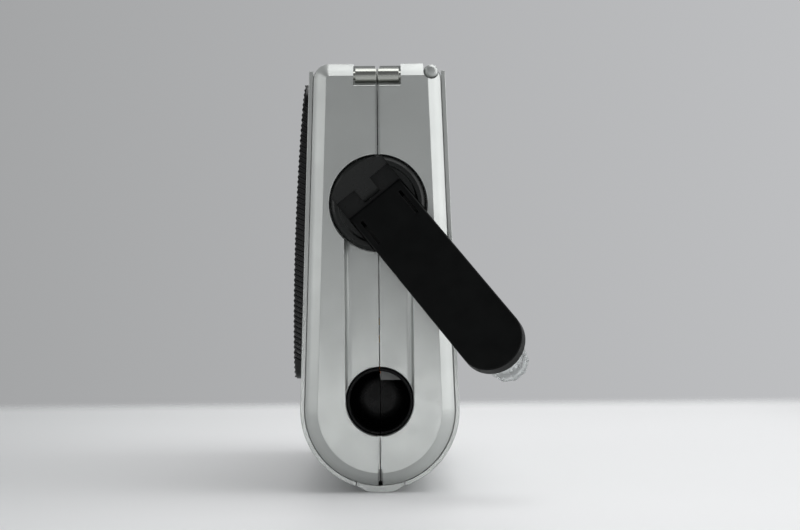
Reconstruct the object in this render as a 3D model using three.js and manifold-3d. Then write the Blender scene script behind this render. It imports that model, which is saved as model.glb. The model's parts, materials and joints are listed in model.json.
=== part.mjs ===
import * as THREE from 'three';
import { mergeVertices } from 'three/addons/utils/BufferGeometryUtils.js';
import Module from 'manifold-3d';

// A hand-cranked radio and torch. A two-shell case stands on edge, with a folding crank in its
// right-hand end (+X), a speaker grille on its front (-Y) and a lamp in its left-hand end (-X).
// Millimetres, +Z up, and the origin on the table under the middle of the case.

const wasm = await Module();
wasm.setup();

// Fits shared by all pieces
const gap = 0.3; // between two pieces that touch, slide or turn
const overrun = 2; // how far a cut runs past what it cuts
const circleSteps = 24; // flats round a large circle
const smallSteps = 12; // flats round a small circle
const cornerSteps = 4; // flats round a quarter circle
const bottomSteps = 20; // flats round the bottom of the case

// Case
const caseLength = 168;
const bodyRadius = 27; // the round bottom, over the facing panels
const bodyTop = 145;
const standHeight = 0.8; // the round bottom above the table
const sideTaper = THREE.MathUtils.degToRad(2);
const topCornerRadius = 5.5;
const sharpestCorner = 0.8;
const shellWall = 2.2;
const panelThickness = 1.2;
const panelDrop = 2.5; // its upper edge below the top
const edgeBandWidth = 4.5; // the sloping band round each end face
const edgeBandDepth = 4.2;
const bandDepthShares = [0, 0.06, 0.48, 1];
const bandInsetShares = [1, 0.91, 0.42, 0];
const plainBandShares = [0, 1]; // where nothing shows
const seamGrooveWidth = 0.8;
const seamGrooveDepth = 0.7;

const endX = caseLength / 2;
const caseRadius = bodyRadius - panelThickness - gap;
const roundCentre = standHeight + bodyRadius;
const panelHigh = bodyTop - panelDrop;

// A row of fittings stands at a share of the straight side's height.
const rowHeight = (share) => roundCentre + share * (bodyTop - roundCentre);

// Foot
const padLength = 156;
const padWidth = 16;

// Crank
const hubRadius = 16.3;
const hubFloor = 2.4;
const hubBevel = 1.4;
const hubProud = 0.8;
const armReach = 66.9; // crank axis to grip axis
const armWidth = 21.5;
const armThickness = 4.4;
const barrelRadius = 2.4;
const hingeOffset = 0.3;
const hingePinRadius = 1.3;
const hingePinLength = 1.4;
const armSideGap = 0.4;
const slitLength = 11;
const slitWidth = 1.1;
const earWidth = 2;
const armSkin = 1.6;
const armRim = 1.4;
const rampStart = 8.6;
const rampTilt = THREE.MathUtils.degToRad(22);
const tongueWidth = 6.6;
const shaftSeat = 1.6; // how deep the shaft stands in the hub's floor
const hubTurn = THREE.MathUtils.degToRad(38.8);
const armLift = THREE.MathUtils.degToRad(29);

const hingeX = endX - barrelRadius;
const channelFloorX = hingeX - barrelRadius - gap;
const hubBackX = channelFloorX - hubFloor;
const channelHalfWidth = armWidth / 2 + armSideGap + gap;
const slotHalfWidth = armWidth / 2 + armSideGap;

// Grip on the crank
const gripSides = 10;
const gripRadius = 6.9;
const gripEndRadius = 6.6;
const gripLength = 17.5;
const gripPinRadius = 1.5;
const gripHeadRadius = 3.2;
const gripHeadDepth = 1.5;

// Cup that the grip folds into
const cupRadius = 11.4;
const cupWall = 1.2;
const cupRoom = 1.8; // behind the folded grip
const cupStepHeight = 1.1;
const cupRise = 2.9; // its middle above the middle of the round bottom

const cupHeight = roundCentre + cupRise;
const crankHeight = cupHeight + armReach;
const cupFloorX = channelFloorX - gripLength - cupRoom;

// Gears
const gearModule = 0.9;
const wheelTeeth = 36;
const pinionTeeth = 12;
const addendumShare = 0.95;
const dedendumShare = 1.3;
const backlash = 0.25;
const pressureAngle = THREE.MathUtils.degToRad(20);
const gearFace = 4;
const pinionExtra = 1;
const webThickness = 1.8;
const wheelRim = 2.4;
const wheelBoss = 5.5;
const shaftRadius = 3.5;
const axleRadius = 1.5;
const bushRadius = 6;
const bushFlange = 1.2;
const wellGap = 2.5; // crank wheel behind the hub well
const frameGap = 2; // the frame behind the idler wheel

const gearDistance = gearModule * (wheelTeeth + pinionTeeth) / 2;
const idlerHeight = crankHeight - gearDistance;
const dynamoHeight = idlerHeight - gearDistance;
const wellBackX = hubBackX - gap - shellWall;
const crankWheelX = wellBackX - wellGap - gearFace;
const idlerWheelX = crankWheelX - gearFace - pinionExtra;
const frameThickness = 2.4;
const frameX = idlerWheelX - frameGap - frameThickness;

// Gear frame and its posts
const frameHalfWidth = 17;
const framePostRadius = 3;
const framePostSide = 14;
const frameTopRise = 17.5;
const frameLowDrop = 1.6;
const frameCorner = 5;

// Dynamo
const dynamoRadius = 16.5;
const dynamoLength = 24;
const dynamoSkin = 0.8;
const coilThickness = 3;
const coilLength = 16;
const rotorLength = 14;

// Strap bar in the top edge
const strapWidth = 16;
const strapDrop = 7.4;
const strapRoom = 6.4; // behind the bar
const strapDeep = 3; // the floor lies this much lower behind the bar
const barRadius = 3;
const barInset = 0.6;

// Telescopic antenna in the top rear corner
const antennaRadius = 2.5;
const antennaSkin = 0.35;
const antennaSide = 18.2;
const antennaDrop = 3; // its axis below the top
const antennaPivotX = -74;
const antennaTubeLength = 145;
const antennaStep = 4;
const antennaTip = 3;
const lugRadius = 2.6;
const antennaScrewRadius = 1.2;
const antennaScrewLength = 8;

const antennaHeight = bodyTop - antennaDrop;

// Speaker and its grille
const grilleX = 41;
const grilleWidth = 74;
const grilleLowShare = 0.087;
const grilleDrop = 6;
const grilleCorner = 9;
const grilleSheet = 1.2;
const grilleRimProud = 1.9;
const grilleCrown = 1.5;
const grilleLean = 0.45;
const grilleRimWidth = 2;
const speakerX = 29;
const speakerShare = 0.6;
const speakerRadius = 25;
const speakerFlange = 1.5;
const speakerDepth = 14;
const magnetRadius = 12;
const magnetLength = 6;
const coneThickness = 0.8;
const coneDepth = 8;
const dustCapRadius = 7;

const grilleLow = rowHeight(grilleLowShare);
const grilleHigh = bodyTop - grilleDrop;
const speakerHeight = rowHeight(speakerShare);

// Tuning dial
const dialShare = 0.795;
const dialGap = 1.2; // beside the lamp's well
const dialWidth = 62;
const dialTall = 22;
const dialCorner = 4;
const dialWindowThickness = 1.2;
const dialPlateThickness = 1;
const dialFoot = 1.2;
const pointerWidth = 1.4;
const pointerThickness = 0.8;
const pointerFoot = 3;
const dialRoom = 2; // between the shell and the dial plate

const dialHeight = rowHeight(dialShare);

// Knobs and switches on the front
const knobShare = 0.4625;
const tuningSide = 17; // from the middle of the dial
const tuningRadius = 14;
const volumeSide = 15;
const volumeRadius = 9;
const knobProud = 2.2;
const knobSkin = 1.4;
const spindleRadius = 3;
const fluteCount = 14;
const fluteRadius = 0.7;
const fluteSteps = 6;
const controlSize = 18;
const switchShare = 0.2235;
const switchSides = [-15, 11]; // from the middle of the dial
const switchHousing = 12;
const switchLength = 8;
const switchTall = 5;
const switchTravel = 4;
const switchProud = 1.2;
const switchCap = 1.6;

const knobHeight = rowHeight(knobShare);
const switchHeight = rowHeight(switchShare);

// Circuit board and ferrite rod
const boardBack = -7;
const boardThickness = 1.6;
const boardLampGap = 2;
const boardRight = 0;
const boardLowShare = 0.138;
const boardHighShare = 0.88;
const boardPostRadius = 3;
const boardPostInset = 3.5;
const ferriteRadius = 4;
const ferriteLength = 66;
const ferriteShare = 0.804;
const ferriteX = -25;
const clipWidth = 5;
const clipReach = 3;

const boardLow = rowHeight(boardLowShare);
const boardHigh = rowHeight(boardHighShare);
const ferriteHeight = rowHeight(ferriteShare);

// Lamp
const lampShare = 0.616;
const bezelRadius = 16;
const bezelProud = 1;
const bezelLip = 2.4;
const bezelDepth = 4;
const lensThickness = 1.6;
const reflectorDepth = 15;
const reflectorSkin = 1;
const reflectorBase = 8;
const ledBoardThickness = 1.5;
const ledRadius = 2.4;
const ledLength = 6;
const ledCircle = 4;
const ledCount = 3;

const lampHeight = rowHeight(lampShare);

// Sockets and their cover
const socketDrops = [40, 54]; // below the lamp
const socketRadius = 4;
const socketFlange = 5.4;
const socketLength = 9;
const socketBores = [1.8, 2.4];
const coverWidth = 13;
const coverTall = 30;
const coverThickness = 1.4;

const socketHeights = socketDrops.map((drop) => lampHeight - drop);
const coverHeight = (socketHeights[0] + socketHeights[1]) / 2;

// Batteries behind the rear door
const cellRadius = 7.1;
const cellLength = 50.5;
const cellCount = 3;
const cellPitch = 14.8;
const cellTip = 2.7;
const cellTipLength = 1;
const trayWall = 1.2;
const doorThickness = 2.4;

// Case screws
const screwXs = [-64, 50];
const screwRise = 10.2; // the lower ones above the bottom
const screwDrop = 9; // the upper ones below the top
const screwRadius = 1.3;
const screwHead = 2.7;
const screwHeadDepth = 1.8;
const screwBoss = 4;
const screwEngage = 8;

const screwHeights = [standHeight + screwRise, bodyTop - screwDrop];

const material = (color, roughness, metalness = 0) =>
  new THREE.MeshStandardMaterial({ color, roughness, metalness });
const silverPaint = () => material(0xb4b6b3, 0.38, 0.55);
const blackSatin = () => material(0x161718, 0.45);
const blackGloss = () => material(0x0e0f0f, 0.18);
const steel = () => material(0x9a9b9c, 0.32, 0.9);
const chrome = () => material(0xc8cacc, 0.12, 1);
const whitePlastic = () => material(0xd9d7cf, 0.5);
const boardGreen = () => material(0x1f5a35, 0.6);
const rubber = () => material(0x1b1b1b, 0.85);
const clearPlastic = () => {
  const clear = material(0xdfe6e8, 0.1);
  clear.transparent = true;
  clear.opacity = 0.45;
  return clear;
};
const brass = () => material(0xb18a3c, 0.35, 0.9);
const copper = () => material(0xa4592c, 0.4, 0.8);

// Turns a closed geometry into a solid that can be cut and joined.
function solid(geometry) {
  const bare = geometry.clone();
  bare.deleteAttribute('normal');
  bare.deleteAttribute('uv');
  const merged = mergeVertices(bare, 1e-4);
  return new wasm.Manifold(
    new wasm.Mesh({
      numProp: 3,
      vertProperties: new Float32Array(merged.attributes.position.array),
      triVerts: new Uint32Array(merged.index.array),
    }),
  );
}

function geometryOf(body) {
  const mesh = body.getMesh();
  const geometry = new THREE.BufferGeometry();
  geometry.setAttribute('position', new THREE.BufferAttribute(mesh.vertProperties, 3));
  geometry.setIndex(new THREE.BufferAttribute(mesh.triVerts, 1));
  const flat = geometry.toNonIndexed();
  flat.computeVertexNormals();
  return flat;
}

const X = new THREE.Vector3(1, 0, 0);
const Y = new THREE.Vector3(0, 1, 0);
const Z = new THREE.Vector3(0, 0, 1);

// An arc is drawn with two flats for each curve segment.
function extrude(shape, depth, steps, basis, origin) {
  const curveSegments = steps / 2;
  const geometry = new THREE.ExtrudeGeometry(shape, { depth, curveSegments, bevelEnabled: false });
  geometry.applyMatrix4(new THREE.Matrix4().makeBasis(...basis).setPosition(origin));
  return solid(geometry);
}

// A shape drawn in y and z, pushed along X.
const alongX = (shape, x0, x1, steps = circleSteps) =>
  extrude(shape, x1 - x0, steps, [Y, Z, X], new THREE.Vector3(x0, 0, 0));

// A shape drawn in x and z, pushed along Y.
const alongY = (shape, y0, y1, steps = circleSteps) =>
  extrude(shape, y1 - y0, steps, [X, Z, Y.clone().negate()], new THREE.Vector3(0, y1, 0));

function disc(a, b, radius) {
  const shape = new THREE.Shape();
  shape.absarc(a, b, radius, 0, 2 * Math.PI);
  return shape;
}

function ring(a, b, outer, inner) {
  const shape = disc(a, b, outer);
  shape.holes.push(disc(a, b, inner));
  return shape;
}

function rectangle(a0, a1, b0, b1) {
  return new THREE.Shape([
    new THREE.Vector2(a0, b0),
    new THREE.Vector2(a1, b0),
    new THREE.Vector2(a1, b1),
    new THREE.Vector2(a0, b1),
  ]);
}

function roundedRectangle(a0, a1, b0, b1, radius) {
  const shape = new THREE.Shape();
  shape.absarc(a1 - radius, b0 + radius, radius, -Math.PI / 2, 0);
  shape.absarc(a1 - radius, b1 - radius, radius, 0, Math.PI / 2);
  shape.absarc(a0 + radius, b1 - radius, radius, Math.PI / 2, Math.PI);
  shape.absarc(a0 + radius, b0 + radius, radius, Math.PI, 1.5 * Math.PI);
  return shape;
}

function block(x0, x1, y0, y1, z0, z1) {
  const geometry = new THREE.BoxGeometry(x1 - x0, y1 - y0, z1 - z0);
  geometry.translate((x0 + x1) / 2, (y0 + y1) / 2, (z0 + z1) / 2);
  return solid(geometry);
}

// A profile that doesn't start on the axis closes on itself.
function closedProfile(profile) {
  const points = profile.map(([radius, along]) => new THREE.Vector2(radius, along));
  return points[0].x > 0 ? [...points, points[0].clone()] : points;
}

// A profile of (radius, x) points revolved round a line along X through (y, z).
function turned(profile, y, z, steps = circleSteps) {
  const geometry = new THREE.LatheGeometry(closedProfile(profile), steps);
  geometry.applyMatrix4(new THREE.Matrix4().makeBasis(Y, X, Z.clone().negate()).setPosition(0, y, z));
  return positive(geometry);
}

// A profile of (radius, y) points revolved round a line along Y through (x, z).
function turnedY(profile, x, z, steps = circleSteps) {
  const geometry = new THREE.LatheGeometry(closedProfile(profile), steps);
  geometry.translate(x, 0, z);
  return positive(geometry);
}

// A revolved profile may run either way round, so an inside-out one is turned about.
function positive(geometry) {
  geometry.deleteAttribute('normal');
  geometry.deleteAttribute('uv');
  const merged = mergeVertices(geometry, 1e-4);
  const at = merged.attributes.position;
  const kept = [];
  const [a, b, c] = [new THREE.Vector3(), new THREE.Vector3(), new THREE.Vector3()];
  let volume = 0;
  for (let i = 0; i < merged.index.count; i += 3) {
    const corners = [0, 1, 2].map((step) => merged.index.getX(i + step));
    if (new Set(corners).size < 3) continue;
    kept.push(corners);
    a.fromBufferAttribute(at, corners[0]);
    b.fromBufferAttribute(at, corners[1]);
    c.fromBufferAttribute(at, corners[2]);
    volume += a.dot(b.cross(c));
  }
  merged.setIndex(kept.flatMap((corners) => (volume < 0 ? corners.reverse() : corners)));
  return solid(merged);
}

const join = (...bodies) => bodies.reduce((all, body) => all.add(body));
const cut = (body, ...cutters) => cutters.reduce((left, cutter) => left.subtract(cutter), body);
const moved = (body, matrix) => body.transform(matrix.elements);

// The end view of the case, drawn in by an inset: a round bottom, two sides that lean in by the
// taper, and a flat top with round corners.
function caseOutline(inset) {
  const radius = caseRadius - inset;
  const corner = Math.max(topCornerRadius - inset, sharpestCorner);
  const top = bodyTop - inset;
  const cornerHeight = top - corner;
  const lean = (cornerHeight - roundCentre) * Math.sin(sideTaper);
  const cornerSide = (radius - corner - lean) / Math.cos(sideTaper);
  const shape = new THREE.Shape();
  shape.absarc(cornerSide, cornerHeight, corner, sideTaper, Math.PI / 2);
  shape.absarc(-cornerSide, cornerHeight, corner, Math.PI / 2, Math.PI - sideTaper);
  shape.absarc(0, roundCentre, radius, Math.PI - sideTaper, 2 * Math.PI + sideTaper);
  return shape;
}

// A solid through a row of case outlines, each at its own x and inset.
function caseLoft(stations) {
  const rings = stations.map(({ inset }) => outlineRing(inset));
  const count = rings[0].length;
  const positions = stations.flatMap(({ x }, at) => rings[at].flatMap((p) => [x, p.x, p.y]));
  const index = [];
  for (let at = 0; at + 1 < stations.length; at += 1) {
    for (let i = 0; i < count; i += 1) {
      const a = at * count + i;
      const b = at * count + ((i + 1) % count);
      index.push(a, b, b + count, a, b + count, a + count);
    }
  }
  const last = (stations.length - 1) * count;
  for (let i = 1; i + 1 < count; i += 1) {
    index.push(0, i + 1, i, last, last + i, last + i + 1);
  }
  const geometry = new THREE.BufferGeometry();
  geometry.setAttribute('position', new THREE.Float32BufferAttribute(positions, 3));
  geometry.setIndex(index);
  return positive(geometry);
}

// Every ring has the same number of points.
function outlineRing(inset) {
  const [right, left, bottom] = caseOutline(inset).curves.filter((curve) => curve.isEllipseCurve);
  return [
    ...right.getPoints(cornerSteps),
    ...left.getPoints(cornerSteps),
    ...bottom.getPoints(bottomSteps),
  ];
}

function caseBody(inset, depthShares = plainBandShares, insetShares = [...plainBandShares].reverse()) {
  const depths = depthShares.map((share) => share * edgeBandDepth);
  const insets = insetShares.map((share) => share * edgeBandWidth + inset);
  const end = endX - inset;
  const right = depths.map((depth, at) => ({ x: end - depth, inset: insets[at] })).reverse();
  const left = depths.map((depth, at) => ({ x: depth - end, inset: insets[at] }));
  return caseLoft([...left, ...right]);
}

function caseBar(inset, x0, x1) {
  return caseLoft([{ x: x0, inset }, { x: x1, inset }]);
}

// The flat sides lean by the taper. In the frame of a side, y is 0 on the case and z runs up it
// from the top of the round bottom.
const sideFoot = roundCentre + caseRadius * Math.sin(sideTaper);
const upSide = (height) => (height - sideFoot) / Math.cos(sideTaper);
const frontSide = new THREE.Matrix4()
  .makeRotationX(-sideTaper)
  .setPosition(0, -caseRadius * Math.cos(sideTaper), sideFoot);
const rearSide = new THREE.Matrix4()
  .makeRotationX(sideTaper)
  .setPosition(0, caseRadius * Math.cos(sideTaper), sideFoot);
const panelFace = panelThickness + gap;

// One tooth at a time: root, flank, tip and the other flank, with the flank an involute.
function gearShape(teeth, middle, side, height) {
  const pitch = gearModule * teeth / 2;
  const base = pitch * Math.cos(pressureAngle);
  const tip = pitch + gearModule * addendumShare;
  const root = pitch - gearModule * dedendumShare;
  const involute = (angle) => Math.tan(angle) - angle;
  const half = Math.PI / (2 * teeth) - backlash / (2 * pitch);
  const halfAt = (radius) =>
    half + involute(pressureAngle) - involute(Math.acos(Math.min(1, base / radius)));
  const flank = [root, pitch, tip];
  const points = [];
  for (let tooth = 0; tooth < teeth; tooth += 1) {
    const centre = middle + tooth * 2 * Math.PI / teeth;
    const at = (radius, angle) =>
      points.push(new THREE.Vector2(side + radius * Math.cos(angle), height + radius * Math.sin(angle)));
    flank.forEach((radius) => at(radius, centre - halfAt(radius)));
    [...flank].reverse().forEach((radius) => at(radius, centre + halfAt(radius)));
  }
  return new THREE.Shape(points);
}

// A wheel with a thin web between its toothed rim and its boss.
function wheel(x0, middle, height, bore) {
  const body = alongX(gearShape(wheelTeeth, middle, 0, height), x0, x0 + gearFace);
  const rimInside = gearModule * (wheelTeeth / 2 - dedendumShare) - wheelRim;
  const hollow = ring(0, height, rimInside, wheelBoss);
  return cut(
    body,
    alongX(hollow, x0 + webThickness, x0 + gearFace + overrun),
    alongX(disc(0, height, bore), x0 - overrun, x0 + gearFace + overrun),
  );
}

const down = -Math.PI / 2;
const pinionUp = Math.PI / 2 + Math.PI / pinionTeeth;

// The crank is drawn folded, hanging straight down, and its groups then turn and lift it.
function armOutline() {
  const half = armWidth / 2;
  const shape = new THREE.Shape();
  shape.moveTo(half, 0);
  shape.lineTo(half, -armReach);
  shape.absarc(0, -armReach, half, 0, -Math.PI, true);
  shape.lineTo(-half, 0);
  return shape;
}

function channelCut() {
  const half = channelHalfWidth;
  const shape = new THREE.Shape();
  shape.moveTo(half, crankHeight);
  shape.lineTo(-half, crankHeight);
  shape.absarc(0, cupHeight, half, Math.PI, 2 * Math.PI);
  return alongX(shape, channelFloorX, endX + overrun, smallSteps);
}

function channelBacking() {
  const half = channelHalfWidth + shellWall;
  const shape = new THREE.Shape();
  shape.moveTo(half, crankHeight);
  shape.lineTo(-half, crankHeight);
  shape.absarc(0, cupHeight, half, Math.PI, 2 * Math.PI);
  return alongX(shape, channelFloorX - shellWall, endX + overrun, smallSteps);
}

const barX = endX - barInset - barRadius;
const barHeight = bodyTop - barRadius;
const strapBackX = barX - barRadius - strapRoom;
const strapFloor = bodyTop - strapDrop;
const strapHalf = strapWidth / 2;

function strapCut() {
  return join(
    block(strapBackX, endX + overrun, -strapHalf, strapHalf, strapFloor, bodyTop + overrun),
    block(strapBackX, barX - barRadius, -strapHalf, strapHalf, strapFloor - strapDeep, bodyTop + overrun),
  );
}

function strapBacking() {
  const side = strapHalf + shellWall;
  return block(strapBackX - shellWall, endX, -side, side, strapFloor - strapDeep - shellWall, bodyTop);
}

function strapBar() {
  return alongY(disc(barX, barHeight, barRadius), -strapHalf - shellWall, strapHalf + shellWall, smallSteps);
}

const rebateInside = antennaSide - antennaRadius - gap;
const rebateFloor = antennaHeight - lugRadius - gap;

// The rebate is wide along the case, and closes round the tip in the corner of the crank end.
function antennaRebate() {
  const nook = endX - edgeBandDepth - shellWall;
  return join(
    block(-endX - overrun, nook, rebateInside, bodyRadius, rebateFloor, bodyTop + overrun),
    block(nook - overrun, endX + overrun, rebateInside, bodyRadius, antennaHeight, bodyTop + overrun),
    alongX(disc(antennaSide, antennaHeight, antennaRadius + gap), nook - overrun, endX + overrun, smallSteps),
  );
}

function antennaBacking() {
  return block(-endX, endX, rebateInside - shellWall, bodyRadius, rebateFloor - shellWall, bodyTop);
}

const lampWellX = -endX + bezelDepth + reflectorDepth + ledBoardThickness + gap;
const boardLeft = lampWellX + boardLampGap;
const dialX = lampWellX + dialGap + dialWidth / 2;
const tuningX = dialX + tuningSide;
const volumeX = dialX - volumeSide;
const switchXs = switchSides.map((side) => dialX + side);

// The posts that carry the gear frame, two in each shell.
const framePosts = [crankHeight + frameTopRise, dynamoHeight - frameLowDrop].flatMap((height) =>
  [-framePostSide, framePostSide].map((side) => ({ side, height })),
);

const trayInside = cellLength + cellTipLength + 2 * gap;
const trayHalfLength = trayInside / 2 + trayWall;
const trayHalfTall = (cellCount * cellPitch) / 2 + trayWall;
const trayDepth = 2 * cellRadius + 2 * gap + trayWall;
const doorHalfLength = trayHalfLength - trayWall;
const doorHalfTall = trayHalfTall - trayWall;
const trayX = lampWellX + gap + trayHalfLength;
const trayUp = trayHalfTall; // its lower edge is at the foot of the straight side

function doorOpening(margin, y0, y1) {
  return moved(
    alongY(
      roundedRectangle(
        trayX - doorHalfLength - margin,
        trayX + doorHalfLength + margin,
        trayUp - doorHalfTall - margin,
        trayUp + doorHalfTall + margin,
        dialCorner,
      ),
      y0,
      y1,
      cornerSteps,
    ),
    rearSide,
  );
}

function dialOpening(margin, y0, y1) {
  return moved(
    alongY(
      roundedRectangle(
        dialX - dialWidth / 2 - margin,
        dialX + dialWidth / 2 + margin,
        upSide(dialHeight) - dialTall / 2 - margin,
        upSide(dialHeight) + dialTall / 2 + margin,
        dialCorner,
      ),
      y0,
      y1,
      cornerSteps,
    ),
    frontSide,
  );
}

function switchSlot(x) {
  const half = (switchLength / 2 + switchTravel) + gap;
  const up = upSide(switchHeight);
  const tall = switchTall / 2 + gap;
  return moved(
    block(x - half, x + half, -panelFace - overrun, shellWall + overrun, up - tall, up + tall),
    frontSide,
  );
}

function spindleHole(x) {
  const hole = disc(x, upSide(knobHeight), spindleRadius + gap);
  return moved(alongY(hole, -panelFace - overrun, shellWall + overrun, smallSteps), frontSide);
}

function speakerHole() {
  const hole = disc(speakerX, upSide(speakerHeight), speakerRadius - grilleRimWidth);
  return moved(alongY(hole, -overrun, shellWall + overrun), frontSide);
}

const screws = screwXs.flatMap((x) => screwHeights.map((z) => ({ x, z })));
const boardPosts = [boardLeft + boardPostInset, boardRight - boardPostInset].flatMap((x) =>
  [boardLow + boardPostInset, dialHeight - dialTall / 2 - 2 * boardPostInset].map((z) => ({ x, z })),
);
const boardFront = boardBack - boardThickness;

// Both shells as one hollow case, parted afterwards.
function wholeCase() {
  const outer = caseBody(0, bandDepthShares, bandInsetShares);
  const ribs = join(
    channelBacking(),
    alongX(disc(0, crankHeight, hubRadius + gap + shellWall), wellBackX, endX),
    alongX(disc(0, cupHeight, cupRadius + gap + shellWall), cupFloorX, endX),
    strapBacking(),
    antennaBacking(),
    alongX(disc(0, lampHeight, bezelRadius + gap + shellWall), -endX, lampWellX),
    ...framePosts.map(({ side, height }) =>
      alongX(disc(side, height, framePostRadius), frameX + frameThickness + gap, endX, smallSteps)),
    ...screws.map(({ x, z }) => alongY(disc(x, z, screwBoss), -bodyRadius, bodyRadius, smallSteps)),
    ...boardPosts.map(({ x, z }) =>
      alongY(disc(x, z, boardPostRadius), -bodyRadius, boardFront - gap, smallSteps)),
  );
  const hollow = cut(outer, caseBody(shellWall));
  const grooveCore = caseBody(seamGrooveDepth);
  const groove = cut(
    block(-endX - overrun, endX + overrun, -seamGrooveWidth / 2, seamGrooveWidth / 2, 0, bodyTop + overrun),
    grooveCore,
  );
  return cut(
    join(hollow, ribs.intersect(outer)),
    channelCut(),
    alongX(disc(0, crankHeight, hubRadius + gap), hubBackX - gap, endX + overrun),
    alongX(disc(0, crankHeight, bushRadius + gap), wellBackX - overrun, hubBackX),
    alongX(disc(0, cupHeight, cupRadius + gap), cupFloorX - overrun, endX + overrun),
    cut(strapCut(), strapBar()),
    antennaRebate(),
    alongY(
      disc(antennaPivotX, antennaHeight, antennaScrewRadius + gap),
      antennaSide + antennaRadius - antennaScrewLength - gap,
      bodyRadius,
      smallSteps,
    ),
    alongX(disc(0, lampHeight, bezelRadius + gap), -endX - overrun, lampWellX + overrun),
    ...socketHeights.map((height) =>
      alongX(disc(0, height, socketRadius + gap), -endX - overrun, -endX + shellWall + overrun, smallSteps)),
    ...screws.map(({ x, z }) =>
      join(
        alongY(disc(x, z, screwRadius + gap), -screwEngage, bodyRadius, smallSteps),
        alongY(disc(x, z, screwHead + gap), screwSeat(z), bodyRadius, smallSteps),
      )),
    groove,
    dialOpening(-trayWall, -overrun, shellWall + overrun),
    speakerHole(),
    spindleHole(tuningX),
    spindleHole(volumeX),
    ...switchXs.map(switchSlot),
    doorOpening(gap, -shellWall - overrun, overrun),
  );
}

// How far out the case reaches at a height, and the seat of a screw head under its surface.
function caseHalfWidth(height) {
  const drop = roundCentre - height;
  if (drop > 0) return Math.sqrt(caseRadius ** 2 - drop ** 2);
  return (caseRadius + drop * Math.sin(sideTaper)) / Math.cos(sideTaper);
}

function screwSeat(height) {
  return caseHalfWidth(height) - screwBoss - screwHeadDepth;
}

function facingPanel(side) {
  const end = endX - edgeBandDepth;
  const skin = cut(
    caseBar(-panelFace, -end, end),
    caseBar(-gap, -end - overrun, end + overrun),
  );
  const keep = side < 0
    ? block(-endX, endX, -bodyRadius - overrun, -gap / 2, 0, panelHigh)
    : block(-endX, endX, gap / 2, bodyRadius + overrun, 0, panelHigh);
  const padReach = padLength / 2 + gap;
  const padSide = padWidth / 2 + gap;
  return cut(skin.intersect(keep), block(-padReach, padReach, -padSide, padSide, 0, roundCentre));
}

function grilleOutline(margin) {
  return roundedRectangle(
    grilleX - grilleWidth / 2 - margin,
    grilleX + grilleWidth / 2 + margin,
    upSide(grilleLow) - margin,
    upSide(grilleHigh) + margin,
    grilleCorner + margin,
  );
}

// How far the grille stands off the panel at a height up the side.
function grilleStand(share) {
  return grilleRimProud + grilleCrown * (1 - share * share) - grilleLean * share;
}

function grilleProfile(inset, back) {
  const low = upSide(grilleLow) - overrun;
  const high = upSide(grilleHigh) + overrun;
  const points = [new THREE.Vector2(back, low)];
  for (let step = 0; step <= smallSteps; step += 1) {
    const share = 2 * step / smallSteps - 1;
    const up = low + (high - low) * step / smallSteps;
    points.push(new THREE.Vector2(-panelFace - grilleStand(share) + inset, up));
  }
  points.push(new THREE.Vector2(back, high));
  return new THREE.Shape(points);
}

function speakerGrille() {
  const far = caseLength;
  const plate = alongY(grilleOutline(0), -bodyRadius, -gap, cornerSteps);
  const room = alongY(grilleOutline(-grilleRimWidth), -bodyRadius, overrun, cornerSteps);
  const dome = alongX(grilleProfile(0, overrun), -far, far).intersect(plate);
  const inside = alongX(grilleProfile(grilleSheet, overrun), -far, far).intersect(room);
  return moved(cut(dome, inside), frontSide);
}

const root = new THREE.Group();

function place(parent, name, body, finish) {
  const mesh = new THREE.Mesh(geometryOf(body), finish);
  mesh.name = name;
  parent.add(mesh);
  return mesh;
}

function addCase() {
  const whole = wholeCase();
  const half = gap / 2;
  const reach = bodyRadius + overrun;
  const far = endX + overrun;
  const front = whole.intersect(block(-far, far, -reach, -half, -overrun, bodyTop + overrun));
  const rear = whole.intersect(block(-far, far, half, reach, -overrun, bodyTop + overrun));
  place(root, 'front_shell', front, silverPaint());
  place(root, 'rear_shell', rear, silverPaint());
}

function addPanels() {
  const front = cut(
    facingPanel(-1),
    moved(alongY(grilleOutline(gap), -bodyRadius, bodyRadius, cornerSteps), frontSide),
    dialOpening(gap, -bodyRadius, overrun),
    spindleHole(tuningX),
    spindleHole(volumeX),
    ...switchXs.map(switchSlot),
  );
  const rear = cut(
    facingPanel(1),
    doorOpening(gap, -overrun, bodyRadius),
    ...screws.map(({ x, z }) => alongY(disc(x, z, screwHead + gap), 0, bodyRadius + overrun, smallSteps)),
    block(
      -endX,
      antennaPivotX + 2 * lugRadius,
      0,
      bodyRadius + overrun,
      rebateFloor,
      bodyTop,
    ),
  );
  place(root, 'front_panel', front, silverPaint());
  place(root, 'rear_panel', rear, silverPaint());
}

function addBasePad() {
  const seat = caseRadius + gap;
  const half = padWidth / 2;
  const edge = Math.asin(half / seat);
  const shape = new THREE.Shape();
  shape.moveTo(-half, 0);
  shape.lineTo(half, 0);
  shape.absarc(0, roundCentre, seat, down + edge, down - edge, true);
  place(root, 'base_pad', alongX(shape, -padLength / 2, padLength / 2, smallSteps), silverPaint());
}

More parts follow.
